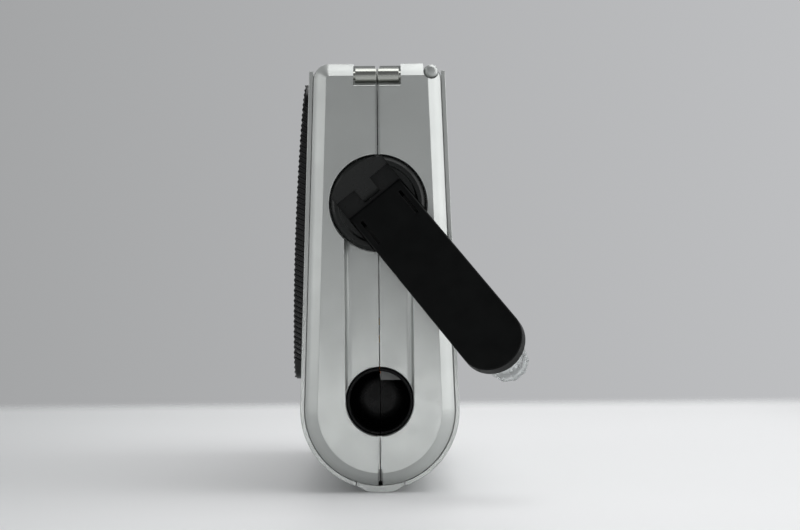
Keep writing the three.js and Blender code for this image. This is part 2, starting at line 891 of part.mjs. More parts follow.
function addCup() {
  const step = alongX(
    rectangle(gap, cupRadius, cupHeight + cupRadius / 2, cupHeight + cupRadius),
    cupFloorX,
    cupFloorX + cupStepHeight,
  ).intersect(alongX(disc(0, cupHeight, cupRadius - cupWall / 2), cupFloorX - cupWall, channelFloorX));
  const whole = join(
    cut(
      alongX(disc(0, cupHeight, cupRadius), cupFloorX - cupWall, channelFloorX),
      alongX(disc(0, cupHeight, cupRadius - cupWall), cupFloorX, channelFloorX + overrun),
    ),
    step,
  );
  const reach = cupRadius + overrun;
  const x0 = cupFloorX - cupWall - overrun;
  const z0 = cupHeight - reach;
  const z1 = cupHeight + reach;
  const front = whole.intersect(block(x0, endX, -reach, -gap / 2, z0, z1));
  const rear = whole.intersect(block(x0, endX, gap / 2, reach, z0, z1));
  place(root, 'pocket_cup_front', front, blackSatin());
  place(root, 'pocket_cup_rear', rear, blackSatin());
}

// The hub's ramp, which the arm lies along when it is folded right out. A tongue carries the same
// slope down between the two recesses, to the arm's barrel.
function rampX(height) {
  const clear = (barrelRadius + gap) / Math.cos(rampTilt);
  return hingeX - clear + (height + hingeOffset) * Math.tan(rampTilt);
}

function rampShape(low, high, floor) {
  return new THREE.Shape([
    new THREE.Vector2(floor, low),
    new THREE.Vector2(rampX(low), low),
    new THREE.Vector2(rampX(high), high),
    new THREE.Vector2(floor, high),
  ]);
}

// The hub is drawn round its own axis, with the slot for the arm running down from it.
function hubBody() {
  const face = endX + hubProud;
  const blank = turned(
    [
      [0, hubBackX],
      [hubRadius, hubBackX],
      [hubRadius, face - hubBevel],
      [hubRadius - hubBevel, face],
      [hubRadius - 2 * hubBevel, face],
      [hubRadius - 2 * hubBevel, endX],
      [0, endX],
    ],
    0,
    0,
  );
  const slot = block(channelFloorX, face + overrun, -slotHalfWidth, slotHalfWidth, -bodyRadius, rampStart);
  const far = hubRadius + overrun;
  const rampCut = alongY(
    rampShape(rampStart - overrun, far, face + overrun),
    -slotHalfWidth,
    slotHalfWidth,
  );
  const tongue = alongY(
    rampShape(barrelRadius + 2 * gap, rampStart + overrun, channelFloorX - hubFloor / 2),
    -tongueWidth / 2,
    tongueWidth / 2,
  );
  const pinHole = alongY(
    disc(hingeX, -hingeOffset, hingePinRadius + gap),
    -slotHalfWidth - hingePinLength,
    slotHalfWidth + hingePinLength,
    smallSteps,
  );
  const shaftHole = alongX(disc(0, 0, shaftRadius + gap), hubBackX - overrun, hubBackX + shaftSeat);
  return cut(join(cut(blank, slot, rampCut), tongue.intersect(blank)), pinHole, shaftHole);
}

// The arm is drawn round its hinge pin, hanging down, with its outer face flush with the case.
function armBody() {
  const outside = barrelRadius;
  const inside = barrelRadius - armThickness;
  const reach = armReach - hingeOffset;
  const lift = new THREE.Matrix4().makeTranslation(0, 0, hingeOffset);
  const plate = moved(alongX(armOutline(), inside, outside, smallSteps), lift);
  const barrel = alongY(disc(0, 0, barrelRadius), -armWidth / 2, armWidth / 2, smallSteps);
  const tail = block(inside - overrun, outside + overrun, -armWidth, armWidth, 0, barrelRadius + overrun);
  const pins = alongY(
    disc(0, 0, hingePinRadius),
    -armWidth / 2 - armSideGap - hingePinLength + gap,
    armWidth / 2 + armSideGap + hingePinLength - gap,
    smallSteps,
  );
  const slitSide = armWidth / 2 - earWidth - slitWidth;
  const slitTop = -barrelRadius;
  const slits = [-1, 1].map((side) => {
    const y0 = side < 0 ? -slitSide - slitWidth : slitSide;
    return block(inside - overrun, outside + overrun, y0, y0 + slitWidth, slitTop - slitLength, slitTop);
  });
  const pocketTop = slitTop - slitLength - armRim;
  const pocketLow = -reach + gripRadius + armRim;
  const pocketHalf = armWidth / 2 - armRim;
  const pocket = alongX(
    roundedRectangle(-pocketHalf, pocketHalf, pocketLow, pocketTop, armRim),
    inside - overrun,
    outside - armSkin,
    cornerSteps,
  );
  const rib = block(inside + gap, outside, -armRim / 2, armRim / 2, pocketLow - armRim, pocketTop + armRim);
  const pinEnd = outside - armSkin;
  const pinHole = alongX(disc(0, -reach, gripPinRadius + gap), inside - overrun, pinEnd, smallSteps);
  const bar = join(cut(plate, tail), barrel, pins);
  return cut(join(cut(bar, ...slits, pocket), rib), pinHole);
}

function gripBody() {
  const x1 = 0;
  const x0 = -gripLength;
  const blank = turned(
    [
      [0, x0],
      [gripEndRadius - gripHeadDepth / 2, x0],
      [gripEndRadius, x0 + gripHeadDepth / 2],
      [gripRadius, x1 - gripHeadDepth],
      [gripRadius - gripHeadDepth / 2, x1],
      [0, x1],
    ],
    0,
    0,
    gripSides,
  );
  return cut(
    blank,
    alongX(disc(0, 0, gripPinRadius + gap), x0 - overrun, x1 + overrun, smallSteps),
    alongX(disc(0, 0, gripHeadRadius + gap), x0 - overrun, x0 + gripHeadDepth + gap, smallSteps),
  );
}

function gripPinBody(armPocket) {
  return join(
    alongX(disc(0, 0, gripPinRadius), -gripLength, armPocket, smallSteps),
    alongX(disc(0, 0, gripHeadRadius), -gripLength, -gripLength + gripHeadDepth, smallSteps),
  );
}

function addCrank() {
  const hub = new THREE.Group();
  hub.position.set(0, 0, crankHeight);
  hub.rotation.x = hubTurn;
  root.add(hub);
  place(hub, 'crank_hub', hubBody(), blackGloss());

  const arm = new THREE.Group();
  arm.position.set(hingeX, 0, -hingeOffset);
  arm.rotation.y = -armLift;
  hub.add(arm);
  place(arm, 'crank_arm', armBody(), blackSatin());

  const grip = new THREE.Group();
  const inside = barrelRadius - armThickness;
  grip.position.set(inside - gap, 0, -(armReach - hingeOffset));
  arm.add(grip);
  place(grip, 'crank_knob', gripBody(), clearPlastic());
  const pinEnd = armThickness - armSkin;
  place(grip, 'knob_pin', gripPinBody(pinEnd), steel());

  const shaftEnd = hubBackX + shaftSeat - gap;
  const shaft = alongX(disc(0, crankHeight, shaftRadius), frameX + gap, shaftEnd, smallSteps);
  place(root, 'crank_shaft', shaft, steel());
  place(root, 'crank_gear', wheel(crankWheelX, down, crankHeight, shaftRadius + gap), whitePlastic());
}

function addGearTrain() {
  const bush = cut(
    join(
      alongX(disc(0, crankHeight, bushRadius), wellBackX - gap, hubBackX - gap),
      alongX(disc(0, crankHeight, bushRadius + bushFlange), wellBackX - gap - bushFlange, wellBackX - gap),
    ),
    alongX(disc(0, crankHeight, shaftRadius + gap), wellBackX - 2 * overrun, endX, smallSteps),
  );
  place(root, 'crank_bush', bush, brass());

  const idlerPinion = alongX(
    gearShape(pinionTeeth, pinionUp, 0, idlerHeight),
    idlerWheelX + gearFace,
    crankWheelX + gearFace + pinionExtra / 2,
  );
  const axleBore = alongX(disc(0, idlerHeight, axleRadius + gap), frameX, endX, smallSteps);
  const idler = cut(join(wheel(idlerWheelX, down, idlerHeight, axleRadius + gap), idlerPinion), axleBore);
  place(root, 'idler_gear', idler, whitePlastic());
  const axleEnd = channelFloorX - shellWall - gap;
  const axle = alongX(disc(0, idlerHeight, axleRadius), frameX + gap, axleEnd, smallSteps);
  place(root, 'idler_axle', axle, steel());

  const pinion = cut(
    alongX(gearShape(pinionTeeth, pinionUp, 0, dynamoHeight), idlerWheelX, idlerWheelX + gearFace),
    alongX(disc(0, dynamoHeight, axleRadius + gap), frameX, endX, smallSteps),
  );
  place(root, 'dynamo_pinion', pinion, brass());
}

function addGearFrame() {
  const low = dynamoHeight - frameLowDrop - framePostRadius - gap;
  const high = crankHeight + frameTopRise + framePostRadius + gap;
  const plate = alongX(
    roundedRectangle(-frameHalfWidth, frameHalfWidth, low, high, frameCorner),
    frameX,
    frameX + frameThickness,
    cornerSteps,
  );
  const holes = [
    [0, crankHeight, shaftRadius],
    [0, idlerHeight, axleRadius],
    [0, dynamoHeight, axleRadius],
    ...framePosts.map(({ side, height }) => [side, height, axleRadius]),
  ];
  const through = holes.map(([side, height, radius]) =>
    alongX(disc(side, height, radius + gap), frameX - overrun, frameX + frameThickness + overrun, smallSteps),
  );
  place(root, 'gear_frame', cut(plate, ...through), steel());
}

function addDynamo() {
  const x1 = frameX - gap;
  const x0 = x1 - dynamoLength;
  const centre = (x0 + x1) / 2;
  const inside = dynamoRadius - dynamoSkin;
  const can = cut(
    alongX(disc(0, dynamoHeight, dynamoRadius), x0, x1),
    alongX(disc(0, dynamoHeight, inside), x0 + dynamoSkin, x1 + overrun),
  );
  place(root, 'dynamo_case', can, steel());
  const coilOutside = inside - gap;
  const coil = alongX(
    ring(0, dynamoHeight, coilOutside, coilOutside - coilThickness),
    centre - coilLength / 2,
    centre + coilLength / 2,
  );
  place(root, 'dynamo_coil', coil, copper());
  const rotor = join(
    alongX(
      disc(0, dynamoHeight, coilOutside - coilThickness - 2 * gap),
      centre - rotorLength / 2,
      centre + rotorLength / 2,
    ),
    alongX(disc(0, dynamoHeight, axleRadius), x0 + dynamoSkin + gap, idlerWheelX + gearFace, smallSteps),
  );
  place(root, 'dynamo_rotor', rotor, steel());
}

function addAntenna() {
  const antenna = new THREE.Group();
  antenna.position.set(antennaPivotX, antennaSide, antennaHeight);
  root.add(antenna);
  const neck = lugRadius + gap;
  const bores = [antennaRadius - antennaSkin];
  bores.push(bores[0] - gap - antennaSkin);
  const lug = cut(
    join(
      alongY(disc(0, 0, lugRadius), -antennaRadius, antennaRadius, smallSteps),
      alongX(disc(0, 0, bores[0] - gap), 0, neck + 2 * lugRadius, smallSteps),
    ),
    alongY(disc(0, 0, antennaScrewRadius + gap), -bodyRadius, bodyRadius, smallSteps),
  );
  place(antenna, 'antenna_lug', lug, chrome());
  const start = neck + gap;
  const end = start + antennaTubeLength;
  const tubeStart = neck + 2 * lugRadius + gap;
  const outer = alongX(ring(0, 0, antennaRadius, bores[0]), start, end, smallSteps);
  place(antenna, 'antenna_tube_1', outer, chrome());
  const middle = alongX(ring(0, 0, bores[0] - gap, bores[1]), tubeStart, end + antennaStep, smallSteps);
  place(antenna, 'antenna_tube_2', middle, chrome());
  const tipX = end + 2 * antennaStep;
  const rodRadius = bores[1] - gap;
  const tipEdge = antennaRadius / 4;
  const inner = turned(
    [
      [0, tubeStart],
      [rodRadius, tubeStart],
      [rodRadius, tipX - antennaTip],
      [antennaRadius, tipX - antennaTip],
      [antennaRadius, tipX - tipEdge],
      [antennaRadius - tipEdge, tipX],
      [0, tipX],
    ],
    0,
    0,
    smallSteps,
  );
  place(antenna, 'antenna_tube_3', inner, chrome());
  const headY = antennaSide + antennaRadius + gap;
  const shank = disc(antennaPivotX, antennaHeight, antennaScrewRadius);
  const head = disc(antennaPivotX, antennaHeight, 2 * antennaScrewRadius);
  const screw = join(
    alongY(shank, headY - antennaScrewLength, headY, smallSteps),
    alongY(head, headY, headY + antennaScrewRadius, smallSteps),
  );
  place(root, 'antenna_screw', screw, steel());
}

function addSpeaker() {
  const up = upSide(speakerHeight);
  const face = shellWall + gap;
  const back = face + speakerDepth;
  const basket = turnedY(
    [
      [speakerRadius - 2 * speakerFlange, face],
      [speakerRadius, face],
      [speakerRadius, face + speakerFlange],
      [magnetRadius, back],
      [magnetRadius, back + magnetLength],
      [0, back + magnetLength],
      [0, back - speakerFlange],
      [magnetRadius - speakerFlange, back - speakerFlange],
    ],
    speakerX,
    up,
  );
  place(root, 'speaker_frame', moved(basket, frontSide), steel());
  const rimY = face + speakerFlange;
  const outside = speakerRadius - 2 * speakerFlange - 3 * gap;
  const throat = rimY + coneDepth;
  const cone = turnedY(
    [
      [outside, face],
      [dustCapRadius, throat],
      [dustCapRadius / 2, throat - coneThickness],
      [0, throat - 2 * coneThickness],
      [0, throat - coneThickness],
      [dustCapRadius / 2, throat],
      [dustCapRadius, throat + coneThickness],
      [outside, face + coneThickness],
    ],
    speakerX,
    up,
  );
  place(root, 'speaker_cone', moved(cone, frontSide), blackSatin());
  place(root, 'speaker_grille', speakerGrille(), blackSatin());
}

function addDial() {
  const up = upSide(dialHeight);
  const window = dialOpening(0, -panelFace, -panelFace + dialWindowThickness);
  place(root, 'dial_window', window, clearPlastic());
  const plateFront = shellWall + dialRoom;
  const half = dialWidth / 2;
  const tall = dialTall / 2;
  const feet = [dialX - half, dialX + half - dialFoot].map((x) =>
    block(x, x + dialFoot, shellWall + gap, plateFront + gap, up - tall, up + tall));
  const plate = moved(
    join(
      block(dialX - half, dialX + half, plateFront, plateFront + dialPlateThickness, up - tall, up + tall),
      ...feet,
    ),
    frontSide,
  );
  place(root, 'dial_plate', plate, whitePlastic());
  const pointer = moved(
    block(
      dialX - pointerWidth / 2,
      dialX + pointerWidth / 2,
      plateFront - gap - pointerThickness,
      plateFront - gap,
      up - tall + pointerFoot,
      up + tall - pointerFoot,
    ),
    frontSide,
  );
  place(root, 'dial_pointer', pointer, material(0xc2371f, 0.4));
}

// A shallow round knob with a fluted edge, its spindle reaching in to its control.
function knobBody(x, radius) {
  const up = upSide(knobHeight);
  const seat = -panelFace - gap;
  const face = seat - knobProud;
  const flutes = Array.from({ length: fluteCount }, (_, at) => {
    const angle = at * 2 * Math.PI / fluteCount;
    const flute = disc(x + radius * Math.cos(angle), up + radius * Math.sin(angle), fluteRadius);
    return alongY(flute, face - overrun, seat + overrun, fluteSteps);
  });
  const dish = alongY(disc(x, up, radius - 2 * fluteRadius - knobSkin), face - overrun, face + knobSkin / 2);
  const grip = cut(alongY(disc(x, up, radius), face, seat), dish, ...flutes);
  const spindle = alongY(disc(x, up, spindleRadius), face + knobSkin, controlFace() - gap, smallSteps);
  return moved(join(grip, spindle), frontSide);
}

// The controls stand on the board; their faces lie this far inside the case's side.
function controlFace() {
  return shellWall + dialRoom;
}

function controlBody(x) {
  const half = controlSize / 2;
  const face = controlFace();
  const side = moved(
    block(x - half, x + half, face, bodyRadius, upSide(knobHeight) - half, upSide(knobHeight) + half),
    frontSide,
  );
  return side.intersect(block(-endX, endX, -bodyRadius, boardFront - gap, 0, bodyTop));
}

function switchBody(x) {
  const up = upSide(switchHeight);
  const half = switchLength / 2;
  const tall = switchTall / 2;
  const ridges = [-1, 0, 1].map((at) => {
    const ridge = at * half / 2;
    const proud = -panelFace - switchProud;
    return block(x + ridge - gap, x + ridge + gap, proud - gap, proud + gap, up - tall, up + tall);
  });
  return moved(
    join(
      block(x - half, x + half, -panelFace - switchProud, switchCap, up - tall, up + tall),
      block(x - half / 2, x + half / 2, 0, controlFace() - gap, up - tall / 2, up + tall / 2),
      ...ridges,
    ),
    frontSide,
  );
}

function addControls() {
  place(root, 'tuning_knob', knobBody(tuningX, tuningRadius), blackSatin());
  place(root, 'volume_knob', knobBody(volumeX, volumeRadius), blackSatin());
  place(root, 'tuning_capacitor', controlBody(tuningX), whitePlastic());
  place(root, 'volume_control', controlBody(volumeX), steel());
  place(root, 'band_switch', switchBody(switchXs[0]), blackSatin());
  place(root, 'light_switch', switchBody(switchXs[1]), blackSatin());
}

function addBoard() {
  const plate = block(boardLeft, boardRight, boardFront, boardBack, boardLow, boardHigh);
  const half = switchHousing / 2;
  const housings = switchXs.map((x) => {
    const up = upSide(switchHeight);
    const face = controlFace();
    const inside = moved(block(x - half, x + half, face, bodyRadius, up - half, up + half), frontSide);
    return inside.intersect(block(-endX, endX, -bodyRadius, boardFront, boardLow, boardHigh));
  });
  const ferriteY = boardBack + clipReach + ferriteRadius;
  const clips = [-1, 1].map((side) => {
    const x = ferriteX + side * ferriteLength / 4;
    return block(
      x - clipWidth / 2,
      x + clipWidth / 2,
      boardBack,
      ferriteY,
      ferriteHeight - ferriteRadius - clipWidth / 2,
      ferriteHeight + ferriteRadius + clipWidth / 2,
    );
  });
  const ferriteRoom = alongX(disc(ferriteY, ferriteHeight, ferriteRadius + gap), -endX, endX, smallSteps);
  const clearing = ferriteRoom.intersect(block(-endX, endX, boardBack + gap, bodyRadius, 0, bodyTop));
  const screwHoles = boardPosts.map(({ x, z }) =>
    alongY(disc(x, z, screwRadius), boardFront - overrun, boardBack + overrun, smallSteps));
  const chip = block(
    boardLeft + controlSize,
    boardLeft + 2 * controlSize,
    boardBack,
    boardBack + boardThickness,
    knobHeight,
    knobHeight + half,
  );
  const board = cut(join(plate, chip, ...housings, ...clips), clearing, ...screwHoles);
  place(root, 'circuit_board', board, boardGreen());
  const rod = alongX(
    disc(ferriteY, ferriteHeight, ferriteRadius),
    ferriteX - ferriteLength / 2,
    ferriteX + ferriteLength / 2,
    smallSteps,
  );
  place(root, 'ferrite_rod', rod, rubber());
}

function addLamp() {
  const face = -endX - bezelProud;
  const lensFace = -endX + gap;
  const seat = -endX + bezelDepth;
  const lipInside = bezelRadius - bezelLip;
  const bezel = turned(
    [
      [lipInside, face + bezelProud / 2],
      [lipInside + bezelProud, face],
      [bezelRadius - bezelProud, face],
      [bezelRadius, face + bezelProud],
      [bezelRadius, seat],
      [bezelRadius - bezelProud, seat],
      [bezelRadius - bezelProud, lensFace],
      [lipInside, lensFace],
    ],
    0,
    lampHeight,
  );
  place(root, 'lamp_bezel', bezel, blackGloss());
  const lensRadius = bezelRadius - bezelProud - gap;
  const lensX = lensFace + gap;
  place(
    root,
    'lamp_lens',
    alongX(disc(0, lampHeight, lensRadius), lensX, lensX + lensThickness),
    clearPlastic(),
  );
  const mouth = seat + gap;
  const base = mouth + reflectorDepth - gap;
  const curve = [];
  const opening = lensRadius - bezelProud;
  const bowlSteps = 3;
  for (let step = 0; step <= bowlSteps; step += 1) {
    const share = step / bowlSteps;
    curve.push([opening - (opening - reflectorBase) * share * share, mouth + (base - mouth) * share]);
  }
  const outsideCurve = [...curve].reverse().map(([radius, x]) => [radius + reflectorSkin, x]);
  const flangeBack = mouth + reflectorSkin;
  const reflector = turned(
    [
      ...curve,
      ...outsideCurve.slice(0, -2),
      [opening + reflectorSkin, flangeBack],
      [bezelRadius, flangeBack],
      [bezelRadius, mouth],
    ],
    0,
    lampHeight,
  );
  place(root, 'lamp_reflector', reflector, chrome());
  const boardX = base + gap;
  place(
    root,
    'led_board',
    alongX(disc(0, lampHeight, bezelRadius - gap), boardX, boardX + ledBoardThickness),
    boardGreen(),
  );
  for (let at = 0; at < ledCount; at += 1) {
    const angle = Math.PI / 2 + at * 2 * Math.PI / ledCount;
    const tip = boardX - gap - ledLength;
    const led = turned(
      [
        [0, tip],
        [ledRadius * Math.SQRT1_2, tip + ledRadius * (1 - Math.SQRT1_2)],
        [ledRadius, tip + ledRadius],
        [ledRadius, boardX - gap],
        [0, boardX - gap],
      ],
      ledCircle * Math.cos(angle),
      lampHeight + ledCircle * Math.sin(angle),
      smallSteps,
    );
    place(root, `led_${at + 1}`, led, clearPlastic());
  }
}

function addSockets() {
  socketHeights.forEach((height, at) => {
    const inside = -endX + shellWall + gap;
    const body = cut(
      join(
        alongX(disc(0, height, socketRadius), -endX, -endX + socketLength, smallSteps),
        alongX(disc(0, height, socketFlange), inside, inside + shellWall, smallSteps),
      ),
      alongX(disc(0, height, socketBores[at]), -endX - overrun, -endX + socketLength - shellWall, smallSteps),
    );
    place(root, at === 0 ? 'earphone_socket' : 'charge_socket', body, blackSatin());
  });
  const face = -endX - gap;
  const half = coverWidth / 2;
  const cover = alongX(
    roundedRectangle(-half, half, coverHeight - coverTall / 2, coverHeight + coverTall / 2, half / 2),
    face - coverThickness,
    face,
    cornerSteps,
  );
  const plugs = socketHeights.map((height, at) =>
    alongX(disc(0, height, socketBores[at] - gap), face - gap, -endX + coverThickness, smallSteps));
  place(root, 'socket_cover', join(cover, ...plugs), rubber());
}

function addBatteries() {
  const inside = -shellWall - gap;
  const back = inside - trayDepth;
  const tray = moved(
    cut(
      block(
        trayX - trayHalfLength,
        trayX + trayHalfLength,
        back,
        inside,
        trayUp - trayHalfTall,
        trayUp + trayHalfTall,
      ),
      block(
        trayX - trayHalfLength + trayWall,
        trayX + trayHalfLength - trayWall,
        back + trayWall,
        inside + overrun,
        trayUp - trayHalfTall + trayWall,
        trayUp + trayHalfTall - trayWall,
      ),
    ),
    rearSide,
  );
  place(root, 'battery_tray', tray, blackSatin());
  for (let at = 0; at < cellCount; at += 1) {
    const up = trayUp + (at - (cellCount - 1) / 2) * cellPitch;
    const side = back + trayWall + gap + cellRadius;
    const x0 = trayX - trayInside / 2 + gap;
    const cell = join(
      alongX(disc(side, up, cellRadius), x0, x0 + cellLength),
      alongX(disc(side, up, cellTip), x0, x0 + cellLength + cellTipLength, smallSteps),
    );
    place(root, `battery_${at + 1}`, moved(cell, rearSide), material(0x2f5f9a, 0.35, 0.3));
  }
  const skin = doorOpening(0, panelFace - doorThickness, panelFace);
  place(root, 'battery_door', skin, silverPaint());
}

function addScrews() {
  screws.forEach(({ x, z }, at) => {
    const seat = screwSeat(z) + gap;
    const body = join(
      alongY(disc(x, z, screwRadius), -screwEngage + gap, seat, smallSteps),
      alongY(disc(x, z, screwHead), seat, seat + screwHeadDepth, smallSteps),
    );
    place(root, `case_screw_${at + 1}`, body, steel());
  });
}

addCase();
addPanels();
addBasePad();
addCup();
addCrank();
addGearTrain();
addGearFrame();
addDynamo();
addAntenna();
addSpeaker();
addDial();
addControls();
addBoard();
addLamp();
addSockets();
addBatteries();
addScrews();

export default root;
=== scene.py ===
import json
import math

import bmesh
import bpy
from mathutils import Matrix, Vector


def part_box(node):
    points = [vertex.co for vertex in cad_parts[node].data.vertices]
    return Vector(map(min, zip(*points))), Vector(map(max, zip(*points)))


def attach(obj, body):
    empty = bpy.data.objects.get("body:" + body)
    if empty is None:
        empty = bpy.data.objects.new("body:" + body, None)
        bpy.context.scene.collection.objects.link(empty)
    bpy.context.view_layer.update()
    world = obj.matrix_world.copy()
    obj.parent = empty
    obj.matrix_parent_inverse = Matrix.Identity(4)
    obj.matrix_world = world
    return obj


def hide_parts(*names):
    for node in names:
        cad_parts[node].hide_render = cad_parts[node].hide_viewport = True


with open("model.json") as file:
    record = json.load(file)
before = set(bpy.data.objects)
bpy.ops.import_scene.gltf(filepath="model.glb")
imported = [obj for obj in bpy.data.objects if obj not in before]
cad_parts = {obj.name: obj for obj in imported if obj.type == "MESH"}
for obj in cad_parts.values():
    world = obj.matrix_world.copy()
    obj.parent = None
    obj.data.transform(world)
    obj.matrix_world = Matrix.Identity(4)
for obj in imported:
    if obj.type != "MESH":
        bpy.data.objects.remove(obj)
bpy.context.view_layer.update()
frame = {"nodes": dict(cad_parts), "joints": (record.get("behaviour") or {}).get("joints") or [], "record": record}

# Shapes are drawn in millimetres and turned into metres when a piece is made.
MM = 0.001
GAP = 0.3  # between two pieces that touch, slide or turn
OVERRUN = 2  # how far a cut runs past what it cuts
FINE = 96  # flats round a large circle
SMALL = 32  # flats round a small circle
BEND = 6  # flats round a small edge
AXIS = 0.01  # the radius at which a turned profile stops short of its axis
HAIR = 0.01  # keeps two faces from lying in one plane


def box(node):
    """The lowest and highest corner of a node, in millimetres."""
    low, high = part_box(node)
    return low / MM, high / MM


def size(node):
    low, high = box(node)
    return high - low


def middle(node):
    low, high = box(node)
    return (low + high) / 2


def joint(name):
    return next(one for one in frame["joints"] if one["name"] == name)


def joint_place(name):
    return Vector(joint(name)["pos_m"]) / MM


def shift(x, y, z):
    return Matrix.Translation((x, y, z))


TURN_Z = Matrix.Rotation(math.pi / 2, 4, "Z")

# Places taken from the frame
shell_low, shell_high = box("front_shell")
END = shell_high.x
TOP = shell_high.z
CASE_RADIUS = -shell_low.y
ROUND_CENTRE = shell_low.z + CASE_RADIUS
pad_low, pad_high = box("base_pad")
hub_low, hub_high = box("crank_hub")
cup_low, cup_high = box("pocket_cup_front")
lug_low, lug_high = box("antenna_lug")
bezel_low, bezel_high = box("lamp_bezel")
hub_centre = joint_place("crank_spin")
fold_place = joint_place("crank_fold")
knob_place = joint_place("knob_spin")

# Case
SIDE_TAPER = math.radians(2)
TOP_CORNER = 5.5
SHARPEST_CORNER = 0.8
WALL = 2.2
BAND_WIDTH = 4.5
BAND_DEPTH = 4.2
BAND_MIDDLE_SHARES = (0.46, 0.43)  # depth and inset of the band's gentle bend
PANEL_GAP = 0.05
PANEL_THICKNESS = 1.45
PANEL_FACE = PANEL_THICKNESS + PANEL_GAP
GROOVE_WIDTH = 1.4
GROOVE_DEPTH = 1.3

# Crank
HUB_RADIUS = size("crank_hub").y / 2
HUB_FACE = hub_high.x
HUB_BACK = hub_low.x
ARM_WIDTH = 21.5
ARM_THICKNESS = 4.4
ARM_SIDE_GAP = 0.4
BARREL_RADIUS = 2.4
HINGE_OFFSET = 0.3
PIN_RADIUS = 1.3
PIN_REACH = 1.1
CHANNEL_FLOOR = fold_place.x - BARREL_RADIUS - GAP
CHANNEL_HALF = ARM_WIDTH / 2 + ARM_SIDE_GAP + GAP
CHANNEL_BEND = 2.35
SLOT_HALF = ARM_WIDTH / 2 + ARM_SIDE_GAP
CUP_HEIGHT = middle("pocket_cup_front").z
CUP_RADIUS = size("pocket_cup_front").z / 2

# In the frame of the arm and the knob, z runs up along the arm and x out of its face.
arm_x = Vector(joint("knob_spin")["axis"])
arm_y = -Vector(joint("crank_fold")["axis"])
arm_turn = Matrix((arm_x, arm_y, arm_x.cross(arm_y))).transposed().to_4x4()
arm_frame = shift(*fold_place) @ arm_turn
knob_frame = shift(*knob_place) @ arm_turn
hub_frame = shift(0, 0, hub_centre.z) @ Matrix.Rotation(math.atan2(arm_y.z, arm_y.y), 4, "X")
ARM_REACH = (arm_frame.inverted() @ knob_place).length

# The sides lean by the taper. In the frame of a side, y is 0 on the case and z runs up it.
SIDE_FOOT = ROUND_CENTRE + CASE_RADIUS * math.sin(SIDE_TAPER)
side_reach = CASE_RADIUS * math.cos(SIDE_TAPER)
front_side = shift(0, -side_reach, SIDE_FOOT) @ Matrix.Rotation(-SIDE_TAPER, 4, "X")
rear_side = shift(0, side_reach, SIDE_FOOT) @ Matrix.Rotation(SIDE_TAPER, 4, "X")


def up_side(height):
    return (height - SIDE_FOOT) / math.cos(SIDE_TAPER)


# Meshes


def placed(name, data):
    """A new object in the scene."""
    made = bpy.data.objects.new(name, data)
    bpy.context.scene.collection.objects.link(made)
    return made


def solid(points, faces):
    """A closed body from points and faces, with its faces pointing out."""
    mesh = bpy.data.meshes.new("solid")
    mesh.from_pydata([tuple(point) for point in points], [], faces)
    work = bmesh.new()
    work.from_mesh(mesh)
    bmesh.ops.remove_doubles(work, verts=work.verts, dist=1e-5)
    bmesh.ops.recalc_face_normals(work, faces=work.faces)
    work.to_mesh(mesh)
    work.free()
    return placed("solid", mesh)


def evaluated_mesh(body):
    graph = bpy.context.evaluated_depsgraph_get()
    return bpy.data.meshes.new_from_object(body.evaluated_get(graph))


def bake(body):
    """Turns a body's modifiers into its mesh."""
    made = evaluated_mesh(body)
    body.modifiers.clear()
    body.data = made
    return body


def combine(body, others, how):
    for other in others:
        change = body.modifiers.new("change", "BOOLEAN")
        change.operation = how
        change.solver = "MANIFOLD"
        change.object = other
    bake(body)
    for other in others:
        bpy.data.objects.remove(other, do_unlink=True)
    return body


def cut(body, *others):
    return combine(body, others, "DIFFERENCE")


def join(body, *others):
    return combine(body, others, "UNION")


def shared(body, *others):
    return combine(body, others, "INTERSECT")


def moved(body, matrix):
    body.data.transform(matrix)
    return body


def gathered(bodies):
    """Several separate bodies as the shells of one."""
    work = bmesh.new()
    for body in bodies:
        work.from_mesh(body.data)
        bpy.data.objects.remove(body, do_unlink=True)
    mesh = bpy.data.meshes.new("gathered")
    work.to_mesh(mesh)
    work.free()
    return placed("gathered", mesh)


def stack(rings, closed=False):
    """A solid through rings of as many points each, capped at both ends unless it closes on itself."""
    count = len(rings[0])
    points = [point for ring in rings for point in ring]
    faces = []
    for at in range(len(rings) if closed else len(rings) - 1):
        low = at * count
        high = (at + 1) % len(rings) * count
        for i in range(count):
            j = (i + 1) % count
            faces.append((low + i, low + j, high + j, high + i))
    if not closed:
        faces.append(tuple(range(count)))
        faces.append(tuple(range((len(rings) - 1) * count, len(rings) * count)))
    return solid(points, faces)


def arc(centre, radius, start, end, steps):
    """Points of an arc, from one angle to another."""
    angles = [start + (end - start) * step / steps for step in range(steps + 1)]
    return [(centre[0] + radius * math.cos(a), centre[1] + radius * math.sin(a)) for a in angles]


def rounded(points, radius=None, steps=BEND, closed=False):
    """2-D points whose corners are arcs, of one radius or of the third number that a point may have."""
    corners = [Vector(point[:2]) for point in points]
    count = len(corners)
    made = []
    for at, corner in enumerate(corners):
        bend = radius
        if radius is None:
            bend = points[at][2] if len(points[at]) > 2 else 0
        if bend == 0 or (not closed and at in (0, count - 1)):
            made.append(tuple(corner))
            continue
        back = (corners[at - 1] - corner).normalized()
        on = (corners[(at + 1) % count] - corner).normalized()
        half = back.angle(on) / 2
        reach = bend / math.tan(half)
        centre = corner + (back + on).normalized() * bend / math.sin(half)
        first = corner + back * reach - centre
        last = corner + on * reach - centre
        turn = math.atan2(first.x * last.y - first.y * last.x, first.dot(last))
        start = math.atan2(first.y, first.x)
        made.extend(arc(centre, bend, start, start + turn, steps))
    return made


def rectangle(a0, a1, b0, b1, radius=0, steps=BEND):
    points = [(a0, b0), (a1, b0), (a1, b1), (a0, b1)]
    return rounded(points, radius, steps, closed=True) if radius else points


def circle(a, b, radius, steps=FINE):
    return arc((a, b), radius, 0, 2 * math.pi, steps)[:-1]


def in_x(outline, x):
    return [(x, a, b) for a, b in outline]


